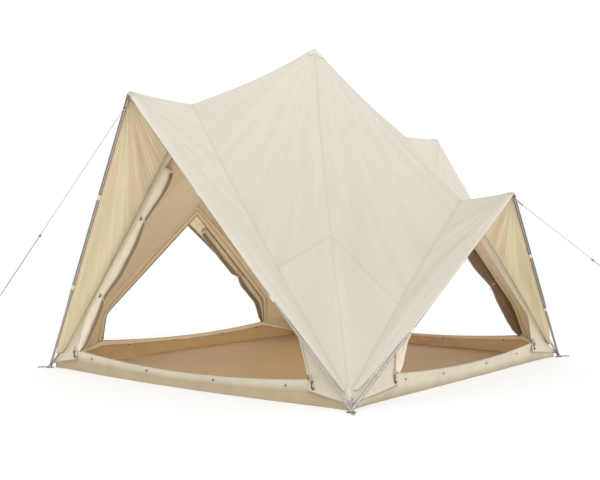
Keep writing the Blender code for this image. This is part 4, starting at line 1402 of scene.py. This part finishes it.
def net_flap(side):
    """The net door, rolled up behind the canvas one, which shows on the opening's side and inside."""
    dormer, turn = side_frame(side)
    line = fine_frames(dormer)[1:]
    frames = section_frames([point for point, _ in line], wall_outward(dormer))
    start, end = dormer.net_round
    rows = []
    for number, ((point, face, across), (_, radius)) in enumerate(zip(frames, line)):
        row = []
        s = number / len(frames)
        sign = 1 if across.x > 0 else -1
        for k in range(25):
            angle = math.radians(start + (end - start) * k / 24 + 3 * math.sin(15 * s))
            pleat = 0.0045 * max(0.0, math.sin(0.9 * k + 6 * s)) * clamped((s - dormer.pleats_from) * 12)
            reach = radius * 1.10 + 0.0030 + pleat * min(1.0, (radius - 0.01) * 60)
            out = face * reach * math.cos(angle) * ROLL_FLAT
            row.append(point + out + across * sign * reach * math.sin(angle))
        rows.append([turn @ p for p in row])
    item = grid_object("net_roll_" + side, rows, [finish("net")])
    thicken(item, THICKNESS["net_roll"])
    settle(item, "lining")


# A tie's loose end: (across, outward, down) from the band
TIE_END = [(0.003, TIE_PINCH, 0), (0.020, 0.020, 0), (0.038, 0.017, 0.010), (0.056, 0.013, 0.030)]
TIE_STEPS = 32


def tie_band(side):
    """Webbing bands that hold the roll, flat behind their toggles, each with two loose ends."""
    dormer, turn = side_frame(side)
    outward = wall_outward(dormer)
    top, bend = door_slope(dormer)
    along = (bend - top).normalized()
    inside = into_doorway(dormer, along)
    axis = mirror(along)
    across = axis.cross(outward).normalized()
    bands = []
    for tie in dormer.ties:
        centre = mirror(top.lerp(bend, tie) + inside * roll_away(TIE_PINCH))
        path, hints = [], []
        for k in range(TIE_STEPS + 1):
            angle = math.tau * k / TIE_STEPS + 0.6
            way = outward * math.cos(angle) * 0.94 + across * math.sin(angle)
            behind = clamped((0.8 - math.cos(angle)) / 0.6)
            reach = TIE_PINCH + 0.0012 + 0.0068 * behind + 0.0012 * k / TIE_STEPS
            path.append(turn @ (centre + way * reach))
            hints.append(turn.to_3x3() @ way)
        bands.append(sweep("tie", path, hints, strap_profile(0.011, 0.0012), finish("webbing")))
        for sign in (-1, 1):
            tail = [centre + outward * out + across * wide * sign - axis * 0.2 * drop - Vector((0, 0, drop))
                    for wide, out, drop in TIE_END]
            path = [turn @ p for p in smooth_path(tail, 5)]
            bands.append(sweep("tie_end", path, turn.to_3x3() @ outward, strap_profile(0.006, 0.0014),
                               finish("webbing")))
    settle(join_objects("roll_ties_" + side, bands), "canvas")


def wall_halves(dormer):
    """Outer and inner edges of the right half of a door wall, from the top down to its gusset's hem."""
    split = (dormer.saddle_z - dormer.door_bend[1]) / (dormer.saddle_z - HEM_Z)
    top, bend = door_slope(dormer)
    outward = wall_outward(dormer)
    sill_end = wall_point(dormer, *dormer.door_foot)
    foot = wall_point(dormer, dormer.door_foot[0] + 0.004, GUSSET_Z) + outward * 0.005
    corner = floor_edge(dormer, dormer.floor_span) + Vector(GUSSET_CORNER)
    outer = [valley(dormer, split * k / WALL_STEPS, WALL_DROP) for k in range(WALL_STEPS + 1)]
    outer += [valley(dormer, split + (VALLEY_END - split) * k / VALLEY_STEPS, WALL_DROP)
              for k in range(1, VALLEY_STEPS + 1)]
    outer += [outer[-1].lerp(corner, k / FLAP_STEPS) + outward * 0.006 * math.sin(math.pi * k / FLAP_STEPS)
              for k in range(1, FLAP_STEPS + 1)]
    inner = [top.lerp(bend, k / WALL_STEPS) for k in range(WALL_STEPS + 1)]
    inner += [bend.lerp(sill_end, k / SILL_STEPS) for k in range(1, SILL_STEPS + 1)]
    inner += [sill_end.lerp(foot, k / GUSSET_STEPS) for k in range(1, GUSSET_STEPS + 1)]
    for _ in range(3):
        above = slice(WALL_STEPS - 7, WALL_STEPS + 1)
        inner[above] = [(a + b * 2 + c) / 4
                        for a, b, c in zip(inner[WALL_STEPS - 8:], inner[above], inner[WALL_STEPS - 6:])]
    return list(zip(outer, inner))


def wall_row(dormer, outer, inner, down, seed):
    """One row across a half wall, with soft vertical folds and a flat margin along the zip."""
    row = []
    for k in range(WALL_COLUMNS + 1):
        share = k / WALL_COLUMNS
        swell = math.sin(math.pi * min(1.0, share / 0.86))
        fold = 0.003 * math.sin(17 * down + 6 * share + seed) + 0.008 * max(0.0, 7 * down - 6)
        fold += 0.006 * noise.noise(Vector((5 * down, 4 * share, seed)))
        row.append(outer.lerp(inner, share) + wall_outward(dormer) * swell * fold)
    return row


FOOT_MARK = 0.035               # the largest distance that the foot mark holds


def door_wall(side):
    """Inner wall round a doorway, from the valley seams to the zip, with a gusset over each sill end."""
    dormer, degrees = SIDES[side]
    turn = side_turn(side)
    pairs = wall_halves(dormer)
    halves = []
    for sign in (-1, 1):
        rows = [wall_row(dormer, *pair, number / len(pairs), 2.0 * sign + degrees)
                for number, pair in enumerate(pairs)]
        halves.append([[turn @ mirror(p, sign) for p in row] for row in rows])
    left, right = halves
    rows = left[:0:-1] + right
    item = grid_object("door_wall_" + side, rows, [finish("wall"), finish("wall_lining")])
    mark_points(item, "edge", [(point - row[-1]).length for row in rows for point in row])
    mark_points(item, "foot", [min(FOOT_MARK, *((point - row[k]).length for row in (rows[0], rows[-1])))
                               for line in rows for k, point in enumerate(line)])
    recalculate(item)
    face_toward(item, turn.to_3x3() @ wall_outward(dormer))
    thicken(item, THICKNESS["wall"], inside=True)
    settle(item, "lining", "wall_" + side)


def corner_flap(side, after):
    """The strip of canvas that closes a corner between the gussets of two neighbouring walls."""
    lines = [[side_turn(each) @ mirror(outer, sign)
              for outer, _ in wall_halves(SIDES[each][0])[WALL_STEPS + VALLEY_STEPS:]]
             for each, sign in ((side, 1), (after, -1))]
    inward = Vector((-lines[0][0].x, -lines[0][0].y, 0)).normalized() * 0.008
    rows = [[a.lerp(b, k / 6) + inward * max(0.0, 1 - r / 4) * math.sin(math.pi * k / 6) for k in range(7)]
            for r, (a, b) in enumerate(zip(*lines))]
    item = grid_object("corner_flap_" + side, rows, [finish("wall"), finish("wall_lining")])
    mark_points(item, "foot", [FOOT_MARK] * (7 * len(rows)))
    mark_points(item, "edge", [1.0] * (7 * len(rows)))
    face_toward(item, Vector((rows[0][3].x, rows[0][3].y, 0)))
    thicken(item, THICKNESS["wall"], inside=True)
    settle(item, "lining")


def door_edge(dormer):
    """The opening's zipped edge from the top down to the sill, on the right half."""
    return [inner for _, inner in wall_halves(dormer) if inner.z > dormer.door_foot[1] - 0.001]


TAPE_WIDTH = 0.012
TOOTH = (0.0042, 0.0018, 0.0022)          # length, width and height
STITCH = (0.0008, 0.0042, 0.0008)
STITCH_PITCH = 0.0062


def zips(side):
    """Zip tape and teeth down the open edge of the doorway; the other edge is under the rolled door."""
    dormer, turn = side_frame(side)
    outward = turn.to_3x3() @ wall_outward(dormer)
    edge = [turn @ p for p in door_edge(dormer)]
    middle = turn @ Vector((0, -dormer.base, 0.6))
    outer = []
    for point, _, across in section_frames(edge, outward):
        away = across if across.dot(point - middle) > 0 else -across
        outer.append(point + away * 0.005 + outward * THICKNESS["wall"])
    tape = sweep("zip_tape_" + side, outer, outward, strap_profile(TAPE_WIDTH, 0.0012), finish("tape"))
    settle(tape, "lining")
    teeth = bars_along("zip_teeth_" + side, edge, sizes().tooth_pitch, TOOTH,
                       finish("zip" if dormer is TALL else "tape"))
    settle(teeth, "dark_plastic")


NET_CORNER = (0.02, 0.215)      # its start and its height, as shares of the doorway's slope
NET_STEPS = 8


def net_corner(side):
    """The net's triangle left at the top of the opening."""
    dormer, turn = side_frame(side)
    top, bend = door_slope(dormer)
    inward = -wall_outward(dormer) * 0.004
    start, height = NET_CORNER
    rows = []
    for r in range(NET_STEPS + 1):
        right = top.lerp(bend, start + height * r / NET_STEPS)
        rows.append([turn @ (mirror(right).lerp(right, k / NET_STEPS) + inward)
                     for k in range(NET_STEPS + 1)])
    item = grid_object("net_corner_" + side, rows, [finish("net_single")])
    thicken(item, THICKNESS["net"])
    settle(item, "lining")


# Floor

FLOOR_RINGS = 40
FLOOR_TOP = 0.0022
FLOOR_INSET = 0.004             # the cloth stops this far inside the floor's outline
RIPPLE = 0.0045                 # height of the floor's long creases
PUCKER = 0.007                  # depth of a tub side's puckers
TUB_COLUMNS = 180
TUB_TIERS = 12


def groundsheet():
    """The tub's floor, with its flattened creases."""
    outline = []
    for side in ("front_left", "back_left", "back_right", "front_right"):
        dormer, turn = side_frame(side)
        for step in range(24):
            edge = floor_edge(dormer, dormer.floor_span * (1 - step / 12))
            outline.append(turn @ (edge * (1 - FLOOR_INSET / dormer.floor_reach)))
    rows = []
    for ring in range(1, FLOOR_RINGS + 1):
        share = ring / FLOOR_RINGS
        row = []
        for point in outline:
            place = point * share
            rise = noise.noise(Vector((2.2 * place.x, 3.6 * place.y, 4.1)))
            ripple = RIPPLE * max(0.0, rise) * (1 - share ** 6)
            row.append(Vector((place.x, place.y, FLOOR_TOP + ripple)))
        rows.append(row)
    item = grid_object("groundsheet_cloth", rows, [finish("floor")], closed=True)
    mesh = bmesh.new()
    mesh.from_mesh(item.data)
    edges = [edge for edge in mesh.edges if edge.is_boundary and edge.verts[0].co.length < 0.2]
    bmesh.ops.contextual_create(mesh, geom=edges)
    bmesh.ops.recalc_face_normals(mesh, faces=mesh.faces)
    mesh.to_mesh(item.data)
    mesh.free()
    if item.data.polygons[0].normal.z < 0:
        item.data.flip_normals()
    thicken(item, THICKNESS["floor"], offset=-1)
    settle(item, "floor", "groundsheet")


def tub_side(side):
    """An upright side of the tub: coated skirt below, canvas band above, puckered along both."""
    dormer, degrees = SIDES[side]
    turn = side_turn(side)
    span = dormer.floor_span - FLOOR_INSET
    rows = []
    for c in range(TUB_COLUMNS + 1):
        across = span * (2 * c / TUB_COLUMNS - 1)
        low, high = floor_edge(dormer, abs(across)), sill_top(dormer, abs(across))
        low.x, high.x = math.copysign(low.x, across), math.copysign(high.x, across)
        free = clamped((dormer.door_foot[0] - abs(across)) / 0.08)
        row = []
        for k in range(TUB_TIERS + 1):
            share = k / TUB_TIERS
            swell = math.sin(math.pi * min(1.0, 0.12 + share)) ** 0.7 if share < 1 else 0.0
            pucker = noise.noise(Vector((7 * across, 2.5 * share, 5.3 + degrees)))
            bulge = noise.noise(Vector((3.1 * across, 0.7 * share, 1.7 + degrees)))
            puff = dormer.puff * max(0.0, bulge) * (1 - share)
            out = -(PUCKER * max(0.0, pucker + 0.25) + puff) * swell * (0.15 + 0.85 * free)
            row.append(turn @ (low.lerp(high, share) + Vector((0, out, 0.0012))))
        rows.append(row)
    looks = ("tub", "tub_inside_tall") if dormer is TALL else ("tub_low", "tub_inside")
    item = grid_object("tub_side_cloth_" + side, rows, [finish(look) for look in looks])
    mark_points(item, "rise", [k / TUB_TIERS for _ in rows for k in range(TUB_TIERS + 1)])
    face_toward(item, turn.to_3x3() @ Vector((0, -1, 0)))
    thicken(item, THICKNESS["tub"], inside=True, offset=-1)
    settle(item, "floor", "tub_side_" + side)


def sill_seams(side):
    """The stitch line along the top of the sill band."""
    dormer, turn = side_frame(side)
    span = dormer.floor_span - 0.02
    path = []
    for c in range(121):
        across = span * (2 * c / 120 - 1)
        point = floor_edge(dormer, abs(across)).lerp(sill_top(dormer, abs(across)), 0.955)
        point.x = across
        path.append(turn @ (point - Vector((0, 0.003, 0))))
    item = bars_along("sill_stitches_" + side, path, STITCH_PITCH, STITCH, finish("webbing"))
    settle(item, "floor")


def stud_places(side):
    dormer, turn = side_frame(side)
    places = []
    for across in dormer.studs:
        high = sill_top(dormer, abs(across))
        low = floor_edge(dormer, abs(across))
        face = (high - low).cross(Vector((-1, 0, 0))).normalized()
        seat = low.lerp(high, STUD_RISE)
        seat.x = across
        for way in (face * 0.006, -face * 0.0026):
            places.append((turn @ (seat + way), turn.to_3x3() @ way, turn.to_3x3() @ Vector((1, 0, 0))))
    return places


# A stud's profile: (share of its radius, height)
STUD_DOME = [(1, 0), (1, 0.0008), (0.82, 0.0014), (0.80, 0.0026), (0.62, 0.0042), (0.30, 0.0050),
             (0.05, 0.0052)]


def studs():
    """Press studs along the four sills, inside and out: a domed cap on a flat washer."""
    stud = turned_object("stud", [(sizes().stud * share, height) for share, height in STUD_DOME])
    places = [place for side in SIDES for place in stud_places(side)]
    settle(fittings_at("sill_studs", places, stud, finish("fitting")), "brass")


# Straps, rings and hooks

def corner_axes(signs):
    """A corner's foot, its canopy tip and the way between them."""
    foot = Vector((signs[0] * HALF_X, signs[1] * HALF_Y, FOOT_Z))
    tip = Vector((signs[0] * SEAM_FOOT[0], signs[1] * SEAM_FOOT[1], HEM_Z))
    return foot, tip, (tip - foot).normalized()


RING_AT = 0.083                 # from a corner's foot up to the strap ring
RING_R = 0.0155
RING_WIRE = 0.0022
STRAP_GAP = 0.0024              # half the space between a strap's two layers
STRAP_TOP = 0.030               # from the canopy's tip up to where its strap is sewn
STRAP_TURN = 0.013              # from the ring's middle to the turns of both straps
LUG_AT = 0.038                  # from a corner's foot up to the strap's turn at its lug
GROUND_LOOP = [(0, 0.004), (0.02, 0.007), (0.05, 0.009), (0.08, 0.005)]  # (outward, half width)


def there_and_back(run, turn=()):
    """A closed strap's path: out along one line, round a turn and back along the other."""
    there, back = run
    return there + list(turn) + back[::-1]


def corner_straps(name):
    """The canopy's corner strap, its ring, the strap to the foot's lug and the ground loop."""
    signs = CORNERS[name]
    foot, tip, along = corner_axes(signs)
    level = along.cross(Vector((0, 0, 1))).normalized()
    face = upward(level.cross(along).normalized())
    ring_at = foot + along * RING_AT
    width = sizes().webbing * 0.55
    for label, look, start, end in (
            ("corner_strap_", "webbing", tip + along * STRAP_TOP, ring_at + along * STRAP_TURN),
            ("foot_strap_", "webbing_grey", ring_at - along * STRAP_TURN, foot + along * LUG_AT)):
        sides = [[start.lerp(end, k / 8) + face * (STRAP_GAP * sign + 0.001) for k in range(9)]
                 for sign in (1, -1)]
        turn = [end + face * (STRAP_GAP * math.cos(a) + 0.001) - along * 0.0035 * math.sin(a)
                for a in (0.6, 1.2, 1.57, 1.95, 2.5)]
        strap = sweep(label + name, there_and_back(sides, turn), face, strap_profile(width, 0.0013),
                      finish(look))
        settle(strap, "canvas")
    ring = ring_object("corner_ring_" + name, RING_R, RING_WIRE, finish("brass"))
    settle(placed(ring, ring_at, face, level), "brass")
    out = Vector((signs[0], signs[1], 0)).normalized()
    side = Vector((-out.y, out.x, 0))
    start = foot - Vector((0, 0, FOOT_Z - 0.0070)) + out * 0.012
    sides = [[start + (out * away + side * wide * sign) for away, wide in GROUND_LOOP] for sign in (1, -1)]
    ground = sweep("ground_loop_" + name, smooth_path(there_and_back(sides), 5), Vector((0, 0, 1)),
                   strap_profile(0.0014, 0.007), finish("webbing_grey"))
    settle(ground, "canvas")


# A pole loop's section: (out from the pole, height)
LOOP_SECTION = [(0, -0.021), (0.0011, -0.0225), (0.0014, -0.021), (0.0014, 0.021), (0.0011, 0.0225),
                (0, 0.021)]
LOOP_SIDES = 28


def pole_loops(half):
    """Webbing loops that hold the hems to the poles of one pair of opposite dormers."""
    dormer, place = HALVES[half]
    foot, apex, down, out, _ = leg(dormer)
    rows = turned_rows([(POLE_R + 0.0016 + more, height) for more, height in LOOP_SECTION], LOOP_SIDES)
    rows.append(rows[0])
    band = grid_object("loop", rows, [], closed=True)
    recalculate(band)
    places = []
    for signs in CORNERS.values():
        turn = Matrix.Diagonal((*signs, 1))
        places += [(turn @ place(foot.lerp(apex, fraction)), turn @ place(down), turn @ place(out))
                   for fraction in LOOPS_AT]
    settle(fittings_at("pole_loops_" + half, places, band, finish("webbing")), "canvas")


# A door hook's wire, as (outward, up) from its middle, and the height of its eye
HOOK = [(0, 0.026), (0, 0.010), (0, -0.002), (0.006, -0.011), (0.014, -0.010), (0.018, 0.002)]
HOOK_EYE_Z = 0.0335


def hook_object():
    wire = [Vector((0, *place)) for place in HOOK]
    piece = sweep("hook", smooth_path(wire, 4), Vector((1, 0, 0)), round_profile(0.0042), finish("brass"))
    eye = ring_object("hook_eye", 0.0085, 0.0036, finish("brass"), steps=18, sides=6)
    eye.data.transform(Matrix.Translation((0, 0, HOOK_EYE_Z)) @ Matrix.Rotation(math.pi / 2, 4, "X"))
    return join_objects("hook", [piece, eye])


def door_hooks():
    """Brass hooks on elastic loops, which hold the bottom corners of the doors to the tub."""
    places, cords = [], []
    for side in SIDES:
        dormer, turn = side_frame(side)
        rotation = turn.to_3x3()
        outward = wall_outward(dormer)
        for sign in (-1, 1):
            spot = mirror(door_foot(dormer) + Vector((0.030, 0, -0.052)) + outward * 0.010, sign)
            places.append((turn @ spot, rotation @ Vector((0, 0, 1)), rotation @ outward))
            top = spot + Vector((0, 0, 0.034))
            wall_at = mirror(door_foot(dormer) + Vector((0.026, 0, 0.030)) + outward * 0.004, sign)
            middle = top.lerp(wall_at, 0.5)
            loop = [top + Vector((0.003, 0, 0.004)), middle + outward * 0.004 + Vector((0.004, 0, 0)),
                    wall_at, middle + outward * 0.003 - Vector((0.004, 0, 0)),
                    top + Vector((-0.003, 0, 0.004)), top + Vector((0, 0, -0.001))]
            cords.append(sweep("elastic", [turn @ p for p in smooth_path(loop, 5)], rotation @ outward,
                               round_profile(0.0022, 6), finish("webbing_grey")))
    settle(fittings_at("door_hooks", places, hook_object(), finish("brass")), "brass")
    settle(join_objects("hook_loops", cords), "canvas")


# Guy lines

def eye_centre(dormer):
    _, apex, down, _, _ = leg(dormer)
    bisector = Vector((0, down.y, down.z)).normalized()
    middle = apex + bisector * (BEND_R / down.x - BEND_R)
    return middle + Vector((0, -0.6, -0.8)) * (POLE_R + EYE_R)


def guy_route(name):
    """The rope's points as the frame has them, with the wrap's middle and the line's directions."""
    side, peg, runner_at = GUYS[name]
    eye = side_turn(side) @ eye_centre(SIDES[side][0])
    run = (peg - eye).normalized()
    level = run.cross(Vector((0, 0, 1))).normalized()
    wrap = peg + Vector((0, 0, PEG_R)) + upward(level.cross(run).normalized()) * WRAP_UP
    start = eye + run * (EYE_R + EYE_WIRE + ROPE_R + TOUCH_GAP)
    end = wrap + level * WRAP_R
    route = [start.lerp(end, step / 12) for step in range(12)]
    run = (end - start).normalized()
    for step in range(7):
        angle = math.pi * step / 6
        route.append(wrap + (level * math.cos(angle) + run * math.sin(angle)) * WRAP_R)
    back = runner_at + KNOT_PAST
    route += [wrap - level * WRAP_R - run * back * step / 8 for step in range(1, 9)]
    return route, eye, run, level


def guy_rope(name):
    """A laid rope from the apex to its peg and back to the runner, with its end knot."""
    route, _, run, level = guy_route(name)
    values = {"Radius": ROPE_R, "Lay": sizes().rope_lay, "Step": ROPE_STEP, "Material": finish("rope")}
    item = run_tree(path_object("guy_rope_cord_" + name, route), tree_named("rope"), values)
    unwrap_cord(item, route[0], run)
    settle(item, "rope", "guy_rope_" + name)
    up = level.cross(run).normalized()
    coil = []
    for k in range(25):
        angle = math.tau * 2 * k / 24
        coil.append(route[-1] + run * (0.0025 * math.cos(angle * 0.75) - 0.0005)
                    + level * KNOT_R * math.sin(angle) + up * KNOT_R * math.cos(angle))
    knot = sweep("guy_knot_" + name, coil, run, round_profile(0.0017, 6), finish("rope"))
    settle(knot, "rope")


def unwrap_cord(item, start, run):
    """Lay the cloth map along a cord by distance, and across it as it lies."""
    layer = item.data.uv_layers.get("cloth") or item.data.uv_layers.new(name="cloth")
    side = run.cross(Vector((0, 0, 1))).normalized()
    values = []
    for loop in item.data.loops:
        away = item.data.vertices[loop.vertex_index].co - start
        values += [away.dot(side), away.dot(run)]
    layer.data.foreach_set("uv", values)


# The apex loop's reach, and half its width at shares of that reach
APEX_REACH = {"left": 0.050, "right": 0.070}
APEX_LOOP = [(0.6, 0.0048), (1.0, 0.0040)]


def apex_fittings(name):
    """The webbing loop round the apex eye and the dark ring at its end, over the rope's first reach."""
    _, eye, run, level = guy_route(name)
    up = level.cross(run).normalized()
    reach = APEX_REACH[name]
    stations = [(0.004, 0.0045), (0.03, 0.0050)] + [(reach * share, half) for share, half in APEX_LOOP]
    pieces = []
    for sign in (1, -1):
        path = smooth_path([eye + run * away + up * half * sign for away, half in stations], 5)
        pieces.append(sweep("loop", path, up, strap_profile(0.011, 0.0014), finish("webbing_grey")))
    settle(join_objects("apex_strap_" + name, pieces), "rope")
    ring = ring_object("apex_ring_" + name, 0.0065, 0.0020, finish("fitting"))
    settle(placed(ring, eye + run * (reach + 0.004), run, level), "dark_plastic")


# Stage

def seen_ray(tree):
    """1 for a ray that shows the surface itself, 0 for one that only carries its light."""
    path = add(tree, "ShaderNodeLightPath").outputs
    direct = plus(tree, path["Is Camera Ray"], path["Is Glossy Ray"])
    return math_node(tree, "ADD", direct, path["Is Transmission Ray"], clamp=True)


CAMERA_PLACE = (-6.022, -4.607, 1.082)
CAMERA_TURN = (89.46, 0, -51.66)
CAMERA_LENS = 54.97
SUNS = {"key": (0.30, 40, (42, 0, -104)), "fill": (0.80, 60, (58, 0, -20))}  # strength, width, turn
FLOOR_HALF = 60
WHITE = (1, 1, 1, 1)


def in_radians(angles):
    return [math.radians(value) for value in angles]


def by_ray(tree, hidden, seen):
    """One strength for rays that only carry light, and another for those that show the surface."""
    inputs = {"Value": seen_ray(tree), "To Min": hidden, "To Max": seen}
    return add(tree, "ShaderNodeMapRange", inputs=inputs).outputs[0]


def studio_floor():
    material, tree, surface = new_material("studio_floor", 0.9)
    surface["Base Color"].default_value = WHITE
    surface["Specular IOR Level"].default_value = 0.0
    white = add(tree, "ShaderNodeEmission", inputs={"Color": WHITE, "Strength": by_ray(tree, 2.2, 1.0)})
    both = add(tree, "ShaderNodeMixShader", inputs={0: by_ray(tree, 0.18, 0.62),
                                                    1: tree.nodes["Principled BSDF"].outputs[0],
                                                    2: white.outputs[0]})
    tree.links.new(both.outputs[0], tree.nodes["Material Output"].inputs["Surface"])
    corners = [(FLOOR_HALF * x, FLOOR_HALF * y, 0) for x, y in ((-1, -1), (1, -1), (1, 1), (-1, 1))]
    make_object("studio_floor", corners, [(0, 1, 2, 3)], [material])


def make_stage():
    """Camera at the photographed angle, a white floor and plain soft light."""
    camera = linked("camera", bpy.data.cameras.new("camera"))
    camera.location = CAMERA_PLACE
    camera.rotation_euler = in_radians(CAMERA_TURN)
    camera.data.lens = CAMERA_LENS
    camera.data.sensor_width = 36
    camera.data.clip_end = 200
    bpy.context.scene.camera = camera
    studio_floor()
    for name, (strength, angle, turn) in SUNS.items():
        lamp = bpy.data.lights.new(name, "SUN")
        lamp.energy = strength
        lamp.angle = math.radians(angle)
        linked(name, lamp).rotation_euler = in_radians(turn)
    lamp = bpy.data.lights.new("inside", "POINT")
    lamp.energy, lamp.shadow_soft_size = 12, 0.6
    linked("inside", lamp).location = (0, 0, 1.0)
    world = bpy.data.worlds.new("studio")
    world.use_nodes = True
    bpy.context.scene.world = world
    sky = world.node_tree.nodes["Background"]
    sky.inputs["Color"].default_value = WHITE
    world.node_tree.links.new(by_ray(world.node_tree, 0.90, 1.0), sky.inputs["Strength"])
    bpy.context.scene.view_settings.view_transform = "Standard"


class TENT_OT_stage(bpy.types.Operator):
    """Set the camera, the floor and the light"""
    bl_idname = "tent.stage"
    bl_label = "Stage"

    def execute(self, context):
        make_stage()
        return {"FINISHED"}


class TENT_OT_guy_ropes(bpy.types.Operator):
    """Run the guy ropes from the apexes to their pegs"""
    bl_idname = "tent.guy_ropes"
    bl_label = "Guy ropes"

    def execute(self, context):
        for name in GUYS:
            guy_rope(name)
            apex_fittings(name)
        return {"FINISHED"}


class TENT_OT_canopy(bpy.types.Operator):
    """Stretch the four quadrants of the roof, and cap the peak"""
    bl_idname = "tent.canopy"
    bl_label = "Canopy"

    def execute(self, context):
        for name in CORNERS:
            canopy_quadrant(name)
        peak_cap()
        return {"FINISHED"}


class TENT_OT_pole_loops(bpy.types.Operator):
    """Sew the webbing loops round the poles"""
    bl_idname = "tent.pole_loops"
    bl_label = "Pole loops"

    def execute(self, context):
        for half in ("tall", "low"):
            pole_loops(half)
        return {"FINISHED"}


class TENT_OT_doors(bpy.types.Operator):
    """Hang the door walls with their zips, and roll the doors and nets up beside them"""
    bl_idname = "tent.doors"
    bl_label = "Doors"

    def execute(self, context):
        for side in SIDES:
            door_wall(side)
            zips(side)
            rolled_door(side)
            net_flap(side)
            tie_band(side)
            if SIDES[side][0] is TALL:
                net_corner(side)
        for side, after in zip(SIDES, list(SIDES)[1:] + list(SIDES)[:1]):
            corner_flap(side, after)
        return {"FINISHED"}


class TENT_OT_tub(bpy.types.Operator):
    """Lay the groundsheet and stand up the four sides of the tub"""
    bl_idname = "tent.tub"
    bl_label = "Tub floor"

    def execute(self, context):
        groundsheet()
        for side in SIDES:
            tub_side(side)
            sill_seams(side)
        studs()
        return {"FINISHED"}


class TENT_OT_straps(bpy.types.Operator):
    """Add the corner straps, rings and hooks"""
    bl_idname = "tent.straps"
    bl_label = "Straps and hooks"

    def execute(self, context):
        for name in CORNERS:
            corner_straps(name)
        door_hooks()
        return {"FINISHED"}


class TENT_OT_hardware(bpy.types.Operator):
    """Give the frame's own poles, feet, pegs and small parts their finishes"""
    bl_idname = "tent.hardware"
    bl_label = "Poles and hardware"

    def execute(self, context):
        looks = {"pole_": "steel", "apex_": "steel", "corner_foot_": "steel", "centre_pole_": "steel",
                 "guy_peg_": "steel", "zip_slider_": "brass", "toggle_": "fitting", "guy_runner_": "fitting"}
        for name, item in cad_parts.items():
            for start, look in looks.items():
                if name.startswith(start):
                    item.data.materials.clear()
                    item.data.materials.append(finish(look))
        return {"FINISHED"}


class TENT_PT_panel(bpy.types.Panel):
    """Sizes and colours of the tent, and the steps that make it"""
    bl_idname = "TENT_PT_panel"
    bl_label = "Lodge tent"
    bl_space_type = "VIEW_3D"
    bl_region_type = "UI"
    bl_category = "Tent"

    def draw(self, context):
        layout = self.layout
        for group in (context.scene.tent_sizes, context.scene.tent_colours):
            box = layout.box()
            for name in group.__annotations__:
                box.prop(group, name)
        for operator in OPERATORS:
            layout.operator(operator.bl_idname)


OPERATORS = (TENT_OT_stage, TENT_OT_guy_ropes, TENT_OT_canopy, TENT_OT_pole_loops, TENT_OT_doors,
             TENT_OT_tub, TENT_OT_straps, TENT_OT_hardware)
CLASSES = (TentSizes, TentColours, *OPERATORS, TENT_PT_panel)


def register():
    for item in CLASSES:
        bpy.utils.register_class(item)
    bpy.types.Scene.tent_sizes = PointerProperty(type=TentSizes)
    bpy.types.Scene.tent_colours = PointerProperty(type=TentColours)


def unregister():
    del bpy.types.Scene.tent_sizes
    del bpy.types.Scene.tent_colours
    for item in reversed(CLASSES):
        bpy.utils.unregister_class(item)


def main():
    register()
    for step in (bpy.ops.tent.stage, bpy.ops.tent.guy_ropes, bpy.ops.tent.canopy, bpy.ops.tent.pole_loops,
                 bpy.ops.tent.doors, bpy.ops.tent.tub, bpy.ops.tent.straps, bpy.ops.tent.hardware):
        step()
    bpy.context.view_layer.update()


if __name__ == "__main__":
    main()
